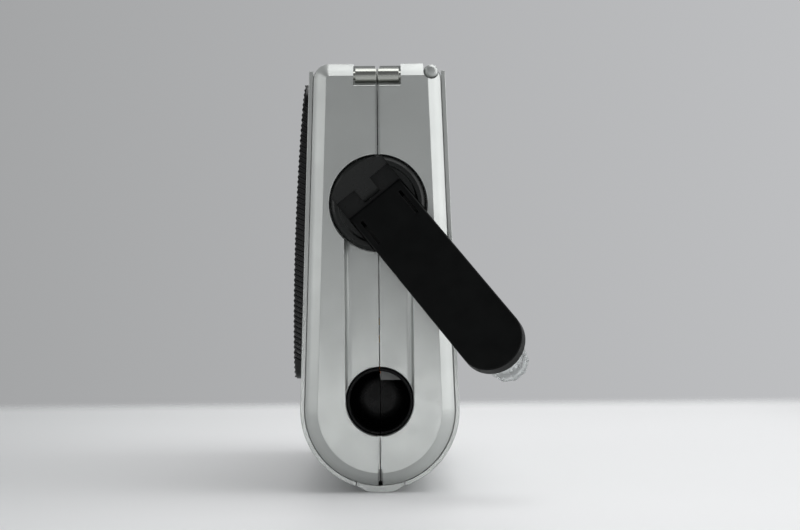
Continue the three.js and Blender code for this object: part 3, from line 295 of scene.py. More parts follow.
def layered(outline_at, rows):
    """A solid along x whose outline changes: a row holds x and what outline_at takes there."""
    return stack([in_x(outline_at(value), x) for x, value in rows])


def along_x(outline, x0, x1):
    """A solid from an outline in y and z."""
    return stack([in_x(outline, x) for x in (x0, x1)])


def along_y(outline, y0, y1):
    """A solid from an outline in x and z."""
    return stack([[(a, y, b) for a, b in outline] for y in (y0, y1)])


def block(x0, x1, y0, y1, z0, z1):
    return along_x(rectangle(y0, y1, z0, z1), x0, x1)


def turned(profile, steps=FINE, closed=False):
    """A profile of radius and place, revolved round the x axis."""
    angles = [2 * math.pi * step / steps for step in range(steps)]
    rings = [[(x, r * math.cos(a), r * math.sin(a)) for a in angles] for r, x in profile]
    return stack(rings, closed)


def rod(radius, x0, x1, bend0=0, bend1=0):
    """The profile of a plain round bar whose ends may be bent in."""
    return rounded([(AXIS, x0), (radius, x0, bend0), (radius, x1, bend1), (AXIS, x1)])


def turned_on(profile, y, z, steps=FINE, closed=False):
    """The same, round a line along x through y and z."""
    return moved(turned(profile, steps, closed), shift(0, y, z))


TURN_TO_Y = Matrix(((0, 1, 0, 0), (1, 0, 0, 0), (0, 0, -1, 0), (0, 0, 0, 1)))


def turned_y(profile, x, y, z, steps=FINE):
    """The same, round a line along y."""
    return moved(turned(profile, steps), shift(x, y, z) @ TURN_TO_Y)


def quarter(radius):
    """The rings of a quarter round: how far each is below the face and within the outline."""
    angles = [math.pi / 2 * step / BEND for step in range(BEND + 1)]
    return [(radius * (1 - math.sin(a)), radius * (1 - math.cos(a))) for a in angles]


def plate(outline_at, low, high, edge, low_edge=None):
    """A flat plate along x with round edges: outline_at(inset) gives its outline."""
    below = quarter(edge if low_edge is None else low_edge)
    rows = [(low + depth, inset) for depth, inset in reversed(below)]
    rows += [(high - depth, inset) for depth, inset in quarter(edge)]
    return layered(outline_at, rows)


# Openings are cut with a round rim. A cutter is drawn along its own x, which points out of the face.


def cutter(outline_at, floor, face, rim=0.0, floor_bend=0.0):
    """A hole from floor to face: its rim spreads in a quarter round, and its floor may have a fillet."""
    rows = [(floor, 0.0)]
    if floor_bend:
        rows = [(floor + depth, -inset) for depth, inset in reversed(quarter(floor_bend))]
    if rim:
        rows += [(face - depth, inset) for depth, inset in quarter(rim)]
    rows.append((face + OVERRUN, rim))
    return layered(outline_at, rows)


def opening(place, outline_at, floor, face, rim=0.0, floor_bend=0.0):
    """A cutter moved to its place."""
    return moved(cutter(outline_at, floor, face, rim, floor_bend), place)


def round_hole(radius):
    return lambda margin: circle(0, 0, radius + margin)


def box_hole(width, tall, corner, more=0.0):
    """A rounded rectangle that is larger than its sizes by some more on every side."""
    def outline(margin):
        half = width / 2 + more + margin
        up = tall / 2 + more + margin
        return rectangle(-half, half, -up, up, corner + margin)
    return outline


def rounded_plate(width, tall, corner, low, high, edge):
    """A plate in y and z whose face looks along x."""
    outline = box_hole(width, tall, corner)
    return plate(lambda inset: outline(-inset), low, high, edge)


OUT_OF_FRONT = Matrix(((0, 1, 0, 0), (-1, 0, 0, 0), (0, 0, 1, 0), (0, 0, 0, 1)))
OUT_OF_REAR = Matrix(((0, -1, 0, 0), (1, 0, 0, 0), (0, 0, 1, 0), (0, 0, 0, 1)))
OUT_OF_LEFT = Matrix.Rotation(math.pi, 4, "Z")


def on_front(x, height):
    """Where a thing on the front stands: its x points out of the side, and its y along the case."""
    return front_side @ shift(x, 0, up_side(height)) @ OUT_OF_FRONT


def on_rear(x, height):
    return rear_side @ shift(x, 0, up_side(height)) @ OUT_OF_REAR


# Pieces


def cleaned(body):
    """Joins points that a cut left closer than what shows, and drops faces without area."""
    work = bmesh.new()
    work.from_mesh(body.data)
    bmesh.ops.remove_doubles(work, verts=work.verts, dist=2e-3)
    bmesh.ops.dissolve_degenerate(work, edges=work.edges, dist=1e-3)
    work.to_mesh(body.data)
    work.free()


def finished(body, name, rides, slot, *nodes, look=None, sharp=32):
    """Makes a body into a piece of the object, in metres, with its slot's finish or another look."""
    cleaned(body)
    body.name = name
    body.data.name = name
    body.data.transform(Matrix.Scale(MM, 4))
    body.data.materials.clear()
    body.data.materials.append(finish[look or slot])
    body.data.shade_smooth()
    body.data.set_sharp_from_angle(angle=math.radians(sharp))
    even = body.modifiers.new("even", "WEIGHTED_NORMAL")
    even.keep_sharp = True
    bake(body)
    body.data.name = name
    if nodes:
        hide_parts(*nodes)
    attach(body, rides)
    return body


def repaint(piece, look, chosen):
    """Gives another finish to the faces whose middle, in millimetres, is chosen."""
    piece.data.materials.append(finish[look])
    for face in piece.data.polygons:
        if chosen(face.center / MM):
            face.material_index = 1


# Materials


class Graph:
    """The shader nodes of a material or of the room."""

    def __init__(self, owner):
        owner.use_nodes = True
        self.nodes = owner.node_tree.nodes
        self.links = owner.node_tree.links

    def feed(self, node, inputs):
        """Gives a node's inputs their values, or links them to what other nodes put out."""
        for name, value in inputs.items():
            if isinstance(value, bpy.types.NodeSocket):
                self.links.new(value, node.inputs[name])
            else:
                node.inputs[name].default_value = value

    def scaled(self, value, low, high, to_low=0, to_high=1, smooth=False):
        """A number that goes from to_low to to_high as the value goes from low to high."""
        change = self.nodes.new("ShaderNodeMapRange")
        if smooth:
            change.interpolation_type = "SMOOTHSTEP"
        self.feed(change, {"Value": value, "From Min": low, "From Max": high})
        self.feed(change, {"To Min": to_low, "To Max": to_high})
        return change.outputs["Result"]

    def part(self, vector, axis):
        split = self.nodes.new("ShaderNodeSeparateXYZ")
        self.links.new(vector, split.inputs["Vector"])
        return split.outputs[axis]

    def ramp(self, factor, low, high, start=0, stop=1):
        """A colour that runs from low to high as the factor goes from start to stop."""
        ramp = self.nodes.new("ShaderNodeValToRGB")
        first, last = ramp.color_ramp.elements
        first.position = start
        last.position = stop
        first.color = (*low, 1)
        last.color = (*high, 1)
        self.links.new(factor, ramp.inputs["Fac"])
        return ramp.outputs["Color"]

    def toward(self, factor, color, last):
        """A colour that goes over to a fixed one as the factor goes to 1."""
        mix = self.nodes.new("ShaderNodeMix")
        mix.data_type = "RGBA"
        self.feed(mix, {"Factor": factor, "A": color, "B": (*last, 1)})
        return mix.outputs["Result"]

    def combined(self, how, numbers):
        """Several numbers made one, such as their product or the largest of them."""
        made = numbers[0]
        for other in numbers[1:]:
            both = self.nodes.new("ShaderNodeMath")
            both.operation = how
            self.feed(both, {0: made, 1: other})
            made = both.outputs["Value"]
        return made

    def show_mixed(self, output, factor, first, second):
        """Shows the first shader where the factor is 0, and the second where it is 1."""
        mix = self.nodes.new("ShaderNodeMixShader")
        self.feed(mix, {"Fac": factor, 1: first, 2: second})
        self.links.new(mix.outputs["Shader"], self.nodes[output].inputs["Surface"])


class Surface(Graph):
    """A material whose shader is set or fed by name."""

    def __init__(self, name):
        self.material = bpy.data.materials.new(name)
        super().__init__(self.material)
        self.shader = self.nodes["Principled BSDF"]
        self.place = self.nodes.new("ShaderNodeTexCoord").outputs["Object"]

    def set(self, **inputs):
        self.feed(self.shader, {name.replace("_", " "): value for name, value in inputs.items()})

    def noise(self, size_mm, detail=2):
        """Soft noise whose blobs are about this large."""
        noise = self.nodes.new("ShaderNodeTexNoise")
        self.feed(noise, {"Vector": self.place, "Scale": 1 / (size_mm * MM), "Detail": detail})
        return noise.outputs["Fac"]

    def cloudy(self, color, share, size_mm):
        """A base colour that varies by a share in soft clouds."""
        low = [part * (1 - share) for part in color]
        high = [min(1, part * (1 + share)) for part in color]
        self.set(Base_Color=self.ramp(self.noise(size_mm), low, high, 1 / 3, 2 / 3))

    def uneven(self, low, high, size_mm):
        """A roughness that varies between two values in soft clouds."""
        self.set(Roughness=self.scaled(self.noise(size_mm), 1 / 3, 2 / 3, low, high))

    def bump(self, size_mm, depth_mm, detail=2, strength=1.0):
        """Low bumps of about this size and depth, over those made before."""
        bump = self.nodes.new("ShaderNodeBump")
        height = self.noise(size_mm, detail)
        self.feed(bump, {"Height": height, "Distance": depth_mm * MM, "Strength": strength})
        old = self.shader.inputs["Normal"].links
        if old:
            self.links.new(old[0].from_socket, bump.inputs["Normal"])
        self.set(Normal=bump.outputs["Normal"])


def linear(red, green, blue):
    """A colour as a screen shows it, 0 to 255, in the shader's own scale."""
    shares = [value / 255 for value in (red, green, blue)]
    return tuple(s / 12.92 if s <= 0.04045 else ((s + 0.055) / 1.055) ** 2.4 for s in shares)


def plain(name, screen_color, roughness, metallic, cloud, grain_mm, grain_depth, **others):
    """A moulded or machined surface: cloudy colour, uneven gloss and a fine grain."""
    made = Surface(name)
    made.cloudy(linear(*screen_color), cloud, 9)
    made.uneven(roughness * 0.88, roughness * 1.12, 4)
    made.set(Metallic=metallic, **others)
    made.bump(grain_mm, grain_depth)
    return made.material


def silver_paint():
    made = Surface("silver_paint")
    made.cloudy(linear(176, 179, 177), 0.04, 22)
    made.uneven(0.3, 0.36, 6)
    made.set(Metallic=0.62, Coat_Weight=0.25, Coat_Roughness=0.16)
    made.bump(0.22, 0.0022, detail=1)
    made.bump(2.6, 0.006, detail=1, strength=0.5)
    return made.material


def clear_plastic():
    made = Surface("clear_plastic")
    made.set(Base_Color=(*linear(230, 234, 234), 1), Transmission_Weight=0.86, IOR=1.49)
    made.uneven(0.26, 0.3, 6)
    made.bump(3, 0.004, detail=1)
    return made.material


def clear_glass():
    """The polished clear plastic of the dial window and the lamp lens."""
    made = Surface("clear_window")
    made.set(Base_Color=(*linear(244, 247, 247), 1), Transmission_Weight=1.0, IOR=1.45)
    made.uneven(0.01, 0.03, 8)
    return made.material


# The finish of each slot, and a few looks that share a slot. The numbers of a plain finish are its colour
# on a screen, roughness, metallic, how cloudy it is, and the size and depth of its grain in millimetres.
finish = {
    "silver": silver_paint(),
    "bar": plain("bar_silver", (172, 174, 168), 0.17, 0.92, 0.05, 0.3, 0.0012),
    "black_satin": plain("black_satin", (13, 14, 14), 0.38, 0, 0.16, 0.3, 0.003, Specular_IOR_Level=0.07),
    "black_gloss": plain("hub_black", (19, 21, 20), 0.28, 0, 0.1, 0.5, 0.002, Specular_IOR_Level=0.24),
    "grille_black": plain("grille_black", (7, 8, 8), 0.24, 0, 0.12, 0.2, 0.002, Specular_IOR_Level=0.4),
    # The pocket look is black plastic made darker than the black satin: painted shade inside the deep pocket.
    "pocket": plain("pocket_black_painted_shade", (6, 7, 7), 0.28, 0, 0.1, 1.6, 0.003, Specular_IOR_Level=0.08),
    # The ledge look is a lighter grey than the black cup: a painted highlight where light catches the ledge.
    "ledge": plain("pocket_ledge_painted_light", (80, 82, 81), 0.4, 0, 0.12, 0.6, 0.003),
    "control": plain("control_black", (30, 31, 31), 0.34, 0, 0.12, 0.3, 0.003, Specular_IOR_Level=0.45),
    "rubber": plain("black_rubber", (26, 26, 27), 0.72, 0, 0.2, 0.25, 0.01),
    "clear": clear_plastic(),
    "window": clear_glass(),
    "diode": plain("diode_epoxy", (236, 230, 190), 0.12, 0, 0.04, 0.5, 0.002, Transmission_Weight=0.35),
    "steel": plain("steel", (165, 167, 168), 0.32, 0.95, 0.05, 0.15, 0.002),
    "antenna_chrome": plain("chrome", (205, 207, 210), 0.1, 1.0, 0.02, 2.0, 0.001),
    "reflector_chrome": plain("mirror_plating", (225, 226, 228), 0.06, 1.0, 0.02, 3.0, 0.001),
    "gear_white": plain("white_nylon", (214, 212, 204), 0.45, 0, 0.03, 0.4, 0.004),
    "brass": plain("brass", (186, 150, 82), 0.28, 0.95, 0.05, 0.2, 0.002),
    "copper": plain("copper_wire", (176, 104, 62), 0.3, 0.9, 0.1, 0.4, 0.02),
    "board_green": plain("board_green", (34, 92, 56), 0.5, 0, 0.1, 0.8, 0.004),
    "ferrite": plain("ferrite", (44, 43, 44), 0.62, 0, 0.15, 0.2, 0.006),
    "pointer_red": plain("pointer_red", (196, 44, 30), 0.34, 0, 0.05, 0.3, 0.002),
    "cell_label": plain("cell_label", (46, 88, 140), 0.3, 0.3, 0.06, 0.5, 0.002),
}


def dress_nodes():
    """Every node that stays shown gets its slot's finish."""
    for row in frame["record"]["subparts"]:
        node = frame["nodes"][row["node"]]
        node.data.materials.clear()
        node.data.materials.append(finish[row["material_slot"]])


# Stage

# The wall is painted darker on its left as painted shade, and lighter on its right.
WALL_SHADED_LEFT = linear(163, 164, 165)
WALL_LIT_RIGHT = linear(190, 191, 193)
WALL_SPREAD = 0.2
WALL_BEHIND = (0, 0.4)
WALL_RISE = (-0.1, 0.25)
WALL_BEHIND_TOP = linear(108, 109, 111)
# Painted shade in the table's colour: darker on its left, and darker again in a band under the big side light.
TABLE_SHADED_LEFT = linear(200, 202, 203)
TABLE_LIT_RIGHT = linear(226, 227, 228)
TABLE_SHADE_ACROSS = (-0.25, 0.06)
TABLE_PAINTED_DARKENING = linear(140, 141, 142)
TABLE_PAINTED_DARKENING_ACROSS = (0.17, 0.42)
TABLE_BACK = 0.42
TABLE_FRONT = 0.78
TABLE_SIDE = 0.6
TABLE_FADE = 0.09
TABLE_SIDE_FADE = 0.25
FOCAL_LENGTH = 95.6
SENSOR_WIDTH = 36
CAMERA_PLACE = (0.798, 0.0072, 0.0768)
CAMERA_ROLL = math.radians(-0.5)
ROOM_LIGHT = 0.42


def add_camera():
    data = bpy.data.cameras.new("camera")
    data.lens = FOCAL_LENGTH
    data.sensor_width = SENSOR_WIDTH
    camera = placed("camera", data)
    facing = TURN_Z @ Matrix.Rotation(math.pi / 2, 4, "X")
    camera.matrix_world = shift(*CAMERA_PLACE) @ facing @ Matrix.Rotation(CAMERA_ROLL, 4, "Z")
    bpy.context.scene.camera = camera


def table_material():
    """A pale table with painted shade on its left and a painted darker band under the big side light, that fades
    out at its edges.
    """
    made = Surface("table_white")

    def span(axis, low, high):
        return made.scaled(made.part(made.place, axis), low, high, smooth=True)

    pale = made.ramp(span("Y", *TABLE_SHADE_ACROSS), TABLE_SHADED_LEFT, TABLE_LIT_RIGHT)
    made.set(Base_Color=made.toward(span("Y", *TABLE_PAINTED_DARKENING_ACROSS), pale, TABLE_PAINTED_DARKENING), Roughness=0.55)
    shown = made.combined("MULTIPLY", [
        span("X", -TABLE_BACK, TABLE_FADE - TABLE_BACK),
        span("X", TABLE_FRONT, TABLE_FRONT - TABLE_SIDE_FADE),
        span("Y", -TABLE_SIDE, TABLE_SIDE_FADE - TABLE_SIDE),
        span("Y", TABLE_SIDE, TABLE_SIDE - TABLE_SIDE_FADE),
    ])
    clear = made.nodes.new("ShaderNodeBsdfTransparent")
    made.show_mixed("Material Output", shown, clear.outputs["BSDF"], made.shader.outputs["BSDF"])
    return made.material


def add_table():
    corners = rectangle(-TABLE_BACK, TABLE_FRONT, -TABLE_SIDE, TABLE_SIDE)
    mesh = bpy.data.meshes.new("table")
    mesh.from_pydata([(x, y, 0) for x, y in corners], [], [(0, 1, 2, 3)])
    mesh.materials.append(table_material())
    table = placed("table", mesh)


def add_room():
    """A soft even room, seen as a plain grey wall with painted shade on its left, and darker high up behind the
    camera.
    """
    world = bpy.data.worlds.new("room")
    bpy.context.scene.world = world
    made = Graph(world)
    wall = made.nodes["Background"]
    facing = made.nodes.new("ShaderNodeTexCoord").outputs["Generated"]
    plain_wall = made.ramp(
        made.scaled(made.part(facing, "Y"), -WALL_SPREAD, WALL_SPREAD), WALL_SHADED_LEFT, WALL_LIT_RIGHT)
    shade = made.combined("MULTIPLY", [
        made.scaled(made.part(facing, "X"), *WALL_BEHIND),
        made.scaled(made.part(facing, "Z"), *WALL_RISE),
    ])
    made.feed(wall, {"Color": made.toward(shade, plain_wall, WALL_BEHIND_TOP)})
    room = made.nodes.new("ShaderNodeBackground")
    made.feed(room, {"Color": (1, 1, 1, 1), "Strength": ROOM_LIGHT})
    ray = made.nodes.new("ShaderNodeLightPath")
    rays = ("Is Camera Ray", "Is Glossy Ray", "Is Transmission Ray")
    seen = made.combined("MAXIMUM", [ray.outputs[name] for name in rays])
    made.show_mixed("World Output", seen, room.outputs["Background"], wall.outputs["Background"])


def add_softbox(name, place, aim, width, height, power, spread=180):
    data = bpy.data.lights.new(name, "AREA")
    data.shape = "RECTANGLE"
    data.size = width
    data.size_y = height
    data.energy = power
    data.spread = math.radians(spread)
    lamp = placed(name, data)
    lamp.location = place
    lamp.visible_camera = False
    lamp.rotation_mode = "QUATERNION"
    lamp.rotation_quaternion = (Vector(place) - Vector(aim)).to_track_quat("Z", "Y")


def add_lights():
    """Each light's place and aim, its width and height in metres, and its power in watts."""
    centre = (0, 0, 0.07)
    add_softbox("top_light", (0.05, 0.25, 0.95), centre, 0.8, 0.8, 4.4)
    add_softbox("rear_side_light", (0.15, 0.85, 0.35), centre, 0.8, 0.9, 4.2)
    add_softbox("front_side_light", (0.2, -0.9, 0.3), centre, 0.6, 0.9, 1.8)
    add_softbox("far_light", (-0.9, 0.1, 0.5), centre, 0.8, 0.6, 1.4)
    add_softbox("camera_light", (1.3, 0.3, 0.5), centre, 0.6, 0.4, 0.2)
    add_softbox("low_light", (0.98, 0.06, 0.035), (END * MM, 0, 0.02), 0.9, 0.06, 0.15)
    add_softbox("near_light", (0.4, 0.012, 0.012), (END * MM, 0.012, 0.012), 0.2, 0.014, 0.0025, 32)
    add_softbox("left_strip", (0.8, -0.62, 0.12), centre, 0.16, 0.5, 0.5)
    add_softbox("right_strip", (0.8, 0.62, 0.12), centre, 0.16, 0.5, 0.5)


# The case

SOFT_RIM = 0.35

STRAP_HALF = 8
STRAP_BACK = END - 13
STRAP_FLOOR = TOP - 7.4
STRAP_DEEP = 3
STRAP_LIP = 0.9
BAR_RADIUS = 2.5
BAR_X = END - 0.6 - BAR_RADIUS
BAR_HEIGHT = TOP - 4.2
BAR_NECK = STRAP_HALF - 0.6
BAR_ROOT = STRAP_HALF + 0.2

ANTENNA_SIDE = middle("antenna_tube_1").y
ANTENNA_HEIGHT = middle("antenna_tube_1").z
ANTENNA_RADIUS = size("antenna_tube_1").z / 2
REBATE_INSIDE = ANTENNA_SIDE - ANTENNA_RADIUS - GAP
REBATE_FLOOR = lug_low.z - GAP
NOOK = END - BAND_DEPTH - WALL

LAMP_HEIGHT = middle("lamp_bezel").z
BEZEL_RADIUS = size("lamp_bezel").z / 2
LAMP_WELL = box("led_board")[1].x + GAP

DIAL_X = middle("dial_window").x
DIAL_HEIGHT = middle("dial_window").z
DIAL_WIDTH = size("dial_window").x
DIAL_TALL = 22
DIAL_LEDGE = 1.2
GRILLE_X = middle("speaker_grille").x
GRILLE_WIDTH = size("speaker_grille").x
GRILLE_LOW = 38
GRILLE_HIGH = 139
GRILLE_MIDDLE = (GRILLE_LOW + GRILLE_HIGH) / 2
GRILLE_TALL = GRILLE_HIGH - GRILLE_LOW
GRILLE_CORNER = 9
DOOR_CORNER = 4
DOOR_X = middle("battery_door").x
DOOR_HEIGHT = middle("battery_door").z
DOOR_WIDTH = size("battery_door").x
DOOR_TALL = size("battery_door").z / math.cos(SIDE_TAPER)
KNOB_ROW = joint_place("tuning_turn").z
TUNING_X = joint_place("tuning_turn").x
VOLUME_X = joint_place("volume_turn").x
TUNING_RADIUS = 14
VOLUME_RADIUS = 9
SPINDLE_RADIUS = 3
SWITCH_HEIGHT = 54
SWITCH_XS = (middle("band_switch").x, middle("light_switch").x)
SWITCH_TRAVEL = 4
SWITCH_LENGTH = 8
SWITCH_TALL = 5
SPEAKER_X = 29
SPEAKER_HEIGHT = 98
SPEAKER_OPENING = 23
SCREW_XS = (-64, 50)
SCREW_HEIGHTS = (11, 136)
SCREW_HEAD = 2.7
SCREW_DEPTH = 5.8
BOSS_RADIUS = 4
SOCKET_HEIGHTS = (60, 46)
SOCKET_RADIUS = 4
HUB_WELL_BACK = HUB_BACK - GAP - WALL
BUSH_RADIUS = 6.3


def case_outline(inset):
    """The end view: round bottom, sides that lean in, and a flat top with round corners."""
    radius = CASE_RADIUS - inset
    corner = max(TOP_CORNER - inset, SHARPEST_CORNER)
    corner_height = TOP - inset - corner
    lean = (corner_height - ROUND_CENTRE) * math.sin(SIDE_TAPER)
    side = (radius - corner - lean) / math.cos(SIDE_TAPER)
    right = arc((side, corner_height), corner, SIDE_TAPER, math.pi / 2, 10)
    left = arc((-side, corner_height), corner, math.pi / 2, math.pi - SIDE_TAPER, 10)
    bottom = arc((0, ROUND_CENTRE), radius, math.pi - SIDE_TAPER, 2 * math.pi + SIDE_TAPER, 80)
    return right + left + bottom


PLAIN_BAND = [(0, BAND_WIDTH), (BAND_DEPTH, 0)]


def band_profile():
    """Depth behind the end face against inset: a small crease, a gently bent slope and the side."""
    depth, inset = BAND_MIDDLE_SHARES
    return rounded([
        (0, BAND_WIDTH + 1),
        (0, BAND_WIDTH, 0.5),
        (BAND_DEPTH * depth, BAND_WIDTH * inset, 12),
        (BAND_DEPTH, 0, 1.4),
        (BAND_DEPTH + 1, 0),
    ])


def case_body(inset, profile):
    right = [(END - inset - depth, inset + more) for depth, more in profile]
    left = [(-x, margin) for x, margin in right]
    return layered(case_outline, left + right[::-1])


def channel_outline(margin):
    half = CHANNEL_HALF + margin
    foot = arc((0, CUP_HEIGHT), half, math.pi, 2 * math.pi, 48)
    return [(half, hub_centre.z), (-half, hub_centre.z)] + foot


def strap_notch():
    """The notch's section: a deeper floor behind the bar and a round lip at the end face."""
    outline = [
        (STRAP_BACK, TOP + OVERRUN),
        (STRAP_BACK, STRAP_FLOOR - STRAP_DEEP),
        (BAR_X - BAR_RADIUS, STRAP_FLOOR - STRAP_DEEP),
        (BAR_X - BAR_RADIUS, STRAP_FLOOR),
        *arc((END - STRAP_LIP, STRAP_FLOOR - STRAP_LIP), STRAP_LIP, math.pi / 2, 0, BEND),
        (END + OVERRUN, STRAP_FLOOR - STRAP_LIP),
        (END + OVERRUN, TOP + OVERRUN),
    ]
    return along_y(outline, -STRAP_HALF, STRAP_HALF)


def antenna_nook():
    """The slot that the antenna's tip lies in, open at the top of the corner."""
    reach = ANTENNA_RADIUS + 0.1
    outline = [
        (ANTENNA_SIDE + reach, TOP + OVERRUN),
        (ANTENNA_SIDE - reach, TOP + OVERRUN),
        *arc((ANTENNA_SIDE, ANTENNA_HEIGHT), reach, math.pi, 2 * math.pi, 24),
    ]
    return along_x(outline, NOOK - OVERRUN, END + OVERRUN)


def screw_places():
    return [(x, z) for x in SCREW_XS for z in SCREW_HEIGHTS]


def screw_seat(height):
    """How far from the middle a screw's head sits, so that it is sunk by the same depth at any height."""
    drop = ROUND_CENTRE - height
    if drop > 0:
        side = math.sqrt(CASE_RADIUS ** 2 - drop ** 2)
    else:
        side = (CASE_RADIUS + drop * math.sin(SIDE_TAPER)) / math.cos(SIDE_TAPER)
    return side - SCREW_DEPTH


def shell_ribs():
    """The wells behind the crank, cup, strap, antenna and lamp, and the screw bosses."""
    bosses = [along_y(circle(x, z, BOSS_RADIUS, SMALL), -CASE_RADIUS, CASE_RADIUS) for x, z in screw_places()]
    side = STRAP_HALF + WALL
    ribs = [
        along_x(channel_outline(WALL), CHANNEL_FLOOR - WALL, END),
        along_x(circle(0, hub_centre.z, HUB_RADIUS + GAP + WALL), HUB_WELL_BACK, END - HAIR),
        along_x(circle(0, CUP_HEIGHT, CUP_RADIUS + GAP + WALL), cup_low.x + GAP, END - 2 * HAIR),
        block(STRAP_BACK - WALL, END, -side, side, STRAP_FLOOR - STRAP_DEEP - WALL, TOP),
        block(-END, END, REBATE_INSIDE - WALL, CASE_RADIUS, REBATE_FLOOR - WALL, TOP),
        along_x(circle(0, LAMP_HEIGHT, BEZEL_RADIUS + GAP + WALL), -END, LAMP_WELL),
    ]
    return join(*ribs, *bosses)


def door_opening(floor, face, rim=0.0):
    hole = box_hole(DOOR_WIDTH, DOOR_TALL, DOOR_CORNER, GAP)
    return opening(on_rear(DOOR_X, DOOR_HEIGHT), hole, floor, face, rim)


def control_openings(floor, face, knob_rim=0.0, slot_rim=0.0):
    """Holes for the spindles of the two knobs, and slots for the two switches."""
    hole = round_hole(SPINDLE_RADIUS + GAP)
    slot = box_hole(SWITCH_LENGTH + 2 * SWITCH_TRAVEL, SWITCH_TALL, 0.6, GAP)
    holes = [opening(on_front(x, KNOB_ROW), hole, floor, face, knob_rim) for x in (TUNING_X, VOLUME_X)]
    slots = [opening(on_front(x, SWITCH_HEIGHT), slot, floor, face, slot_rim) for x in SWITCH_XS]
    return holes + slots


def screw_openings(seat_at, reach):
    return [along_y(circle(x, z, SCREW_HEAD + GAP, SMALL), seat_at(z), reach) for x, z in screw_places()]


def shell_openings():
    """Everything that is cut out of the case."""
    through = (-WALL - OVERRUN, OVERRUN)
    hub = round_hole(HUB_RADIUS + GAP)
    cup = round_hole(CUP_RADIUS + GAP)
    lamp = round_hole(BEZEL_RADIUS + GAP)
    return [
        cutter(channel_outline, CHANNEL_FLOOR, END, SOFT_RIM, CHANNEL_BEND),
        opening(shift(0, 0, hub_centre.z), hub, HUB_BACK - GAP, END, SOFT_RIM),
        opening(shift(0, 0, CUP_HEIGHT), cup, cup_low.x - OVERRUN, CHANNEL_FLOOR, 0.25),
        along_x(circle(0, hub_centre.z, BUSH_RADIUS, SMALL), HUB_WELL_BACK - OVERRUN, HUB_BACK),
        strap_notch(),
        block(-END - OVERRUN, NOOK, REBATE_INSIDE, CASE_RADIUS + OVERRUN, REBATE_FLOOR, TOP + OVERRUN),
        antenna_nook(),
        opening(shift(0, 0, LAMP_HEIGHT) @ OUT_OF_LEFT, lamp, -LAMP_WELL - OVERRUN, END, SOFT_RIM),
        opening(on_front(DIAL_X, DIAL_HEIGHT),
                box_hole(DIAL_WIDTH, DIAL_TALL, DOOR_CORNER, -DIAL_LEDGE), *through),
        opening(on_front(SPEAKER_X, SPEAKER_HEIGHT), round_hole(SPEAKER_OPENING), *through),
        door_opening(*through),
        opening(on_front(GRILLE_X, GRILLE_MIDDLE),
                box_hole(GRILLE_WIDTH, GRILLE_TALL, GRILLE_CORNER - 1, -1), -0.3, OVERRUN),
        *[along_x(circle(0, height, SOCKET_RADIUS + GAP, SMALL), -END - OVERRUN, -END + WALL + OVERRUN)
          for height in SOCKET_HEIGHTS],
        *control_openings(*through),
        *screw_openings(screw_seat, CASE_RADIUS + OVERRUN),
    ]


def seam_groove(half_width, depth):
    slab = block(-END - OVERRUN, END + OVERRUN, -half_width, half_width, 0, TOP + OVERRUN)
    return cut(slab, case_body(depth, PLAIN_BAND))


def behind_grille(place):
    """Whether a face of the case is in the shallow seat of the grille, which is black."""
    inside = abs(place.x - GRILLE_X) < GRILLE_WIDTH / 2 and abs(place.z - GRILLE_MIDDLE) < GRILLE_TALL / 2
    return inside and 0.2 < (front_side.inverted() @ place).y < WALL


def add_shells():
    whole = case_body(0, band_profile())
    cut(whole, case_body(WALL, PLAIN_BAND))
    join(whole, shared(shell_ribs(), case_body(2 * HAIR, band_profile())))
    cut(whole, *shell_openings())
    cut(whole, seam_groove(GROOVE_WIDTH / 2, GROOVE_DEPTH))
    cut(whole, seam_groove(GROOVE_WIDTH / 2 + 0.2, 0.15))
    far = END + OVERRUN
    rear = placed("rear", whole.data.copy())
    front = shared(whole, block(-far, far, -far, -GAP / 2, -OVERRUN, TOP + OVERRUN))
    rear = shared(rear, block(-far, far, GAP / 2, far, -OVERRUN, TOP + OVERRUN))
    front = finished(front, "case_shell_front", "root", "silver", "front_shell")
    finished(rear, "case_shell_rear", "root", "silver", "rear_shell")
    repaint(front, "grille_black", behind_grille)


def add_strap_bar():
    for name, side in (("strap_bar_front", -1), ("strap_bar_rear", 1)):
        profile = rounded([
            (0, GAP / 2),
            (BAR_RADIUS, GAP / 2, 0.3),
            (BAR_RADIUS, BAR_NECK, 0.2),
            (BAR_RADIUS - 1, BAR_NECK),
            (BAR_RADIUS - 1, BAR_ROOT),
            (0, BAR_ROOT),
        ])
        bar = turned_y([(r, side * along) for r, along in profile], BAR_X, 0, BAR_HEIGHT)
        finished(bar, name, "root", "silver", look="bar")


PANEL_END = box("front_panel")[1].x
PANEL_HIGH = box("front_panel")[1].z
PAD_HALF = pad_high.y
PANEL_EDGE = 0.25
PANEL_RIM = 0.3


def panel_outline(side):
    """The section of a facing panel, from its top down the side and round to the foot."""
    def outline(inset):
        rows = []
        for radius in (CASE_RADIUS + PANEL_FACE - inset, CASE_RADIUS + PANEL_GAP + inset):
            low = math.asin((PAD_HALF + GAP + inset) / radius)
            bend = arc((0, ROUND_CENTRE), radius, SIDE_TAPER, low - math.pi / 2, 40)
            top = PANEL_HIGH - inset
            high = (radius - (top - ROUND_CENTRE) * math.sin(SIDE_TAPER)) / math.cos(SIDE_TAPER)
            rows.append([(high, top)] + bend)
        outer, inner = rows
        outer[0] += (PANEL_EDGE,)
        outer[-1] += (PANEL_EDGE,)
        made = rounded(outer + inner[::-1], steps=4, closed=True)
        return [(side * y, z) for y, z in made]
    return outline


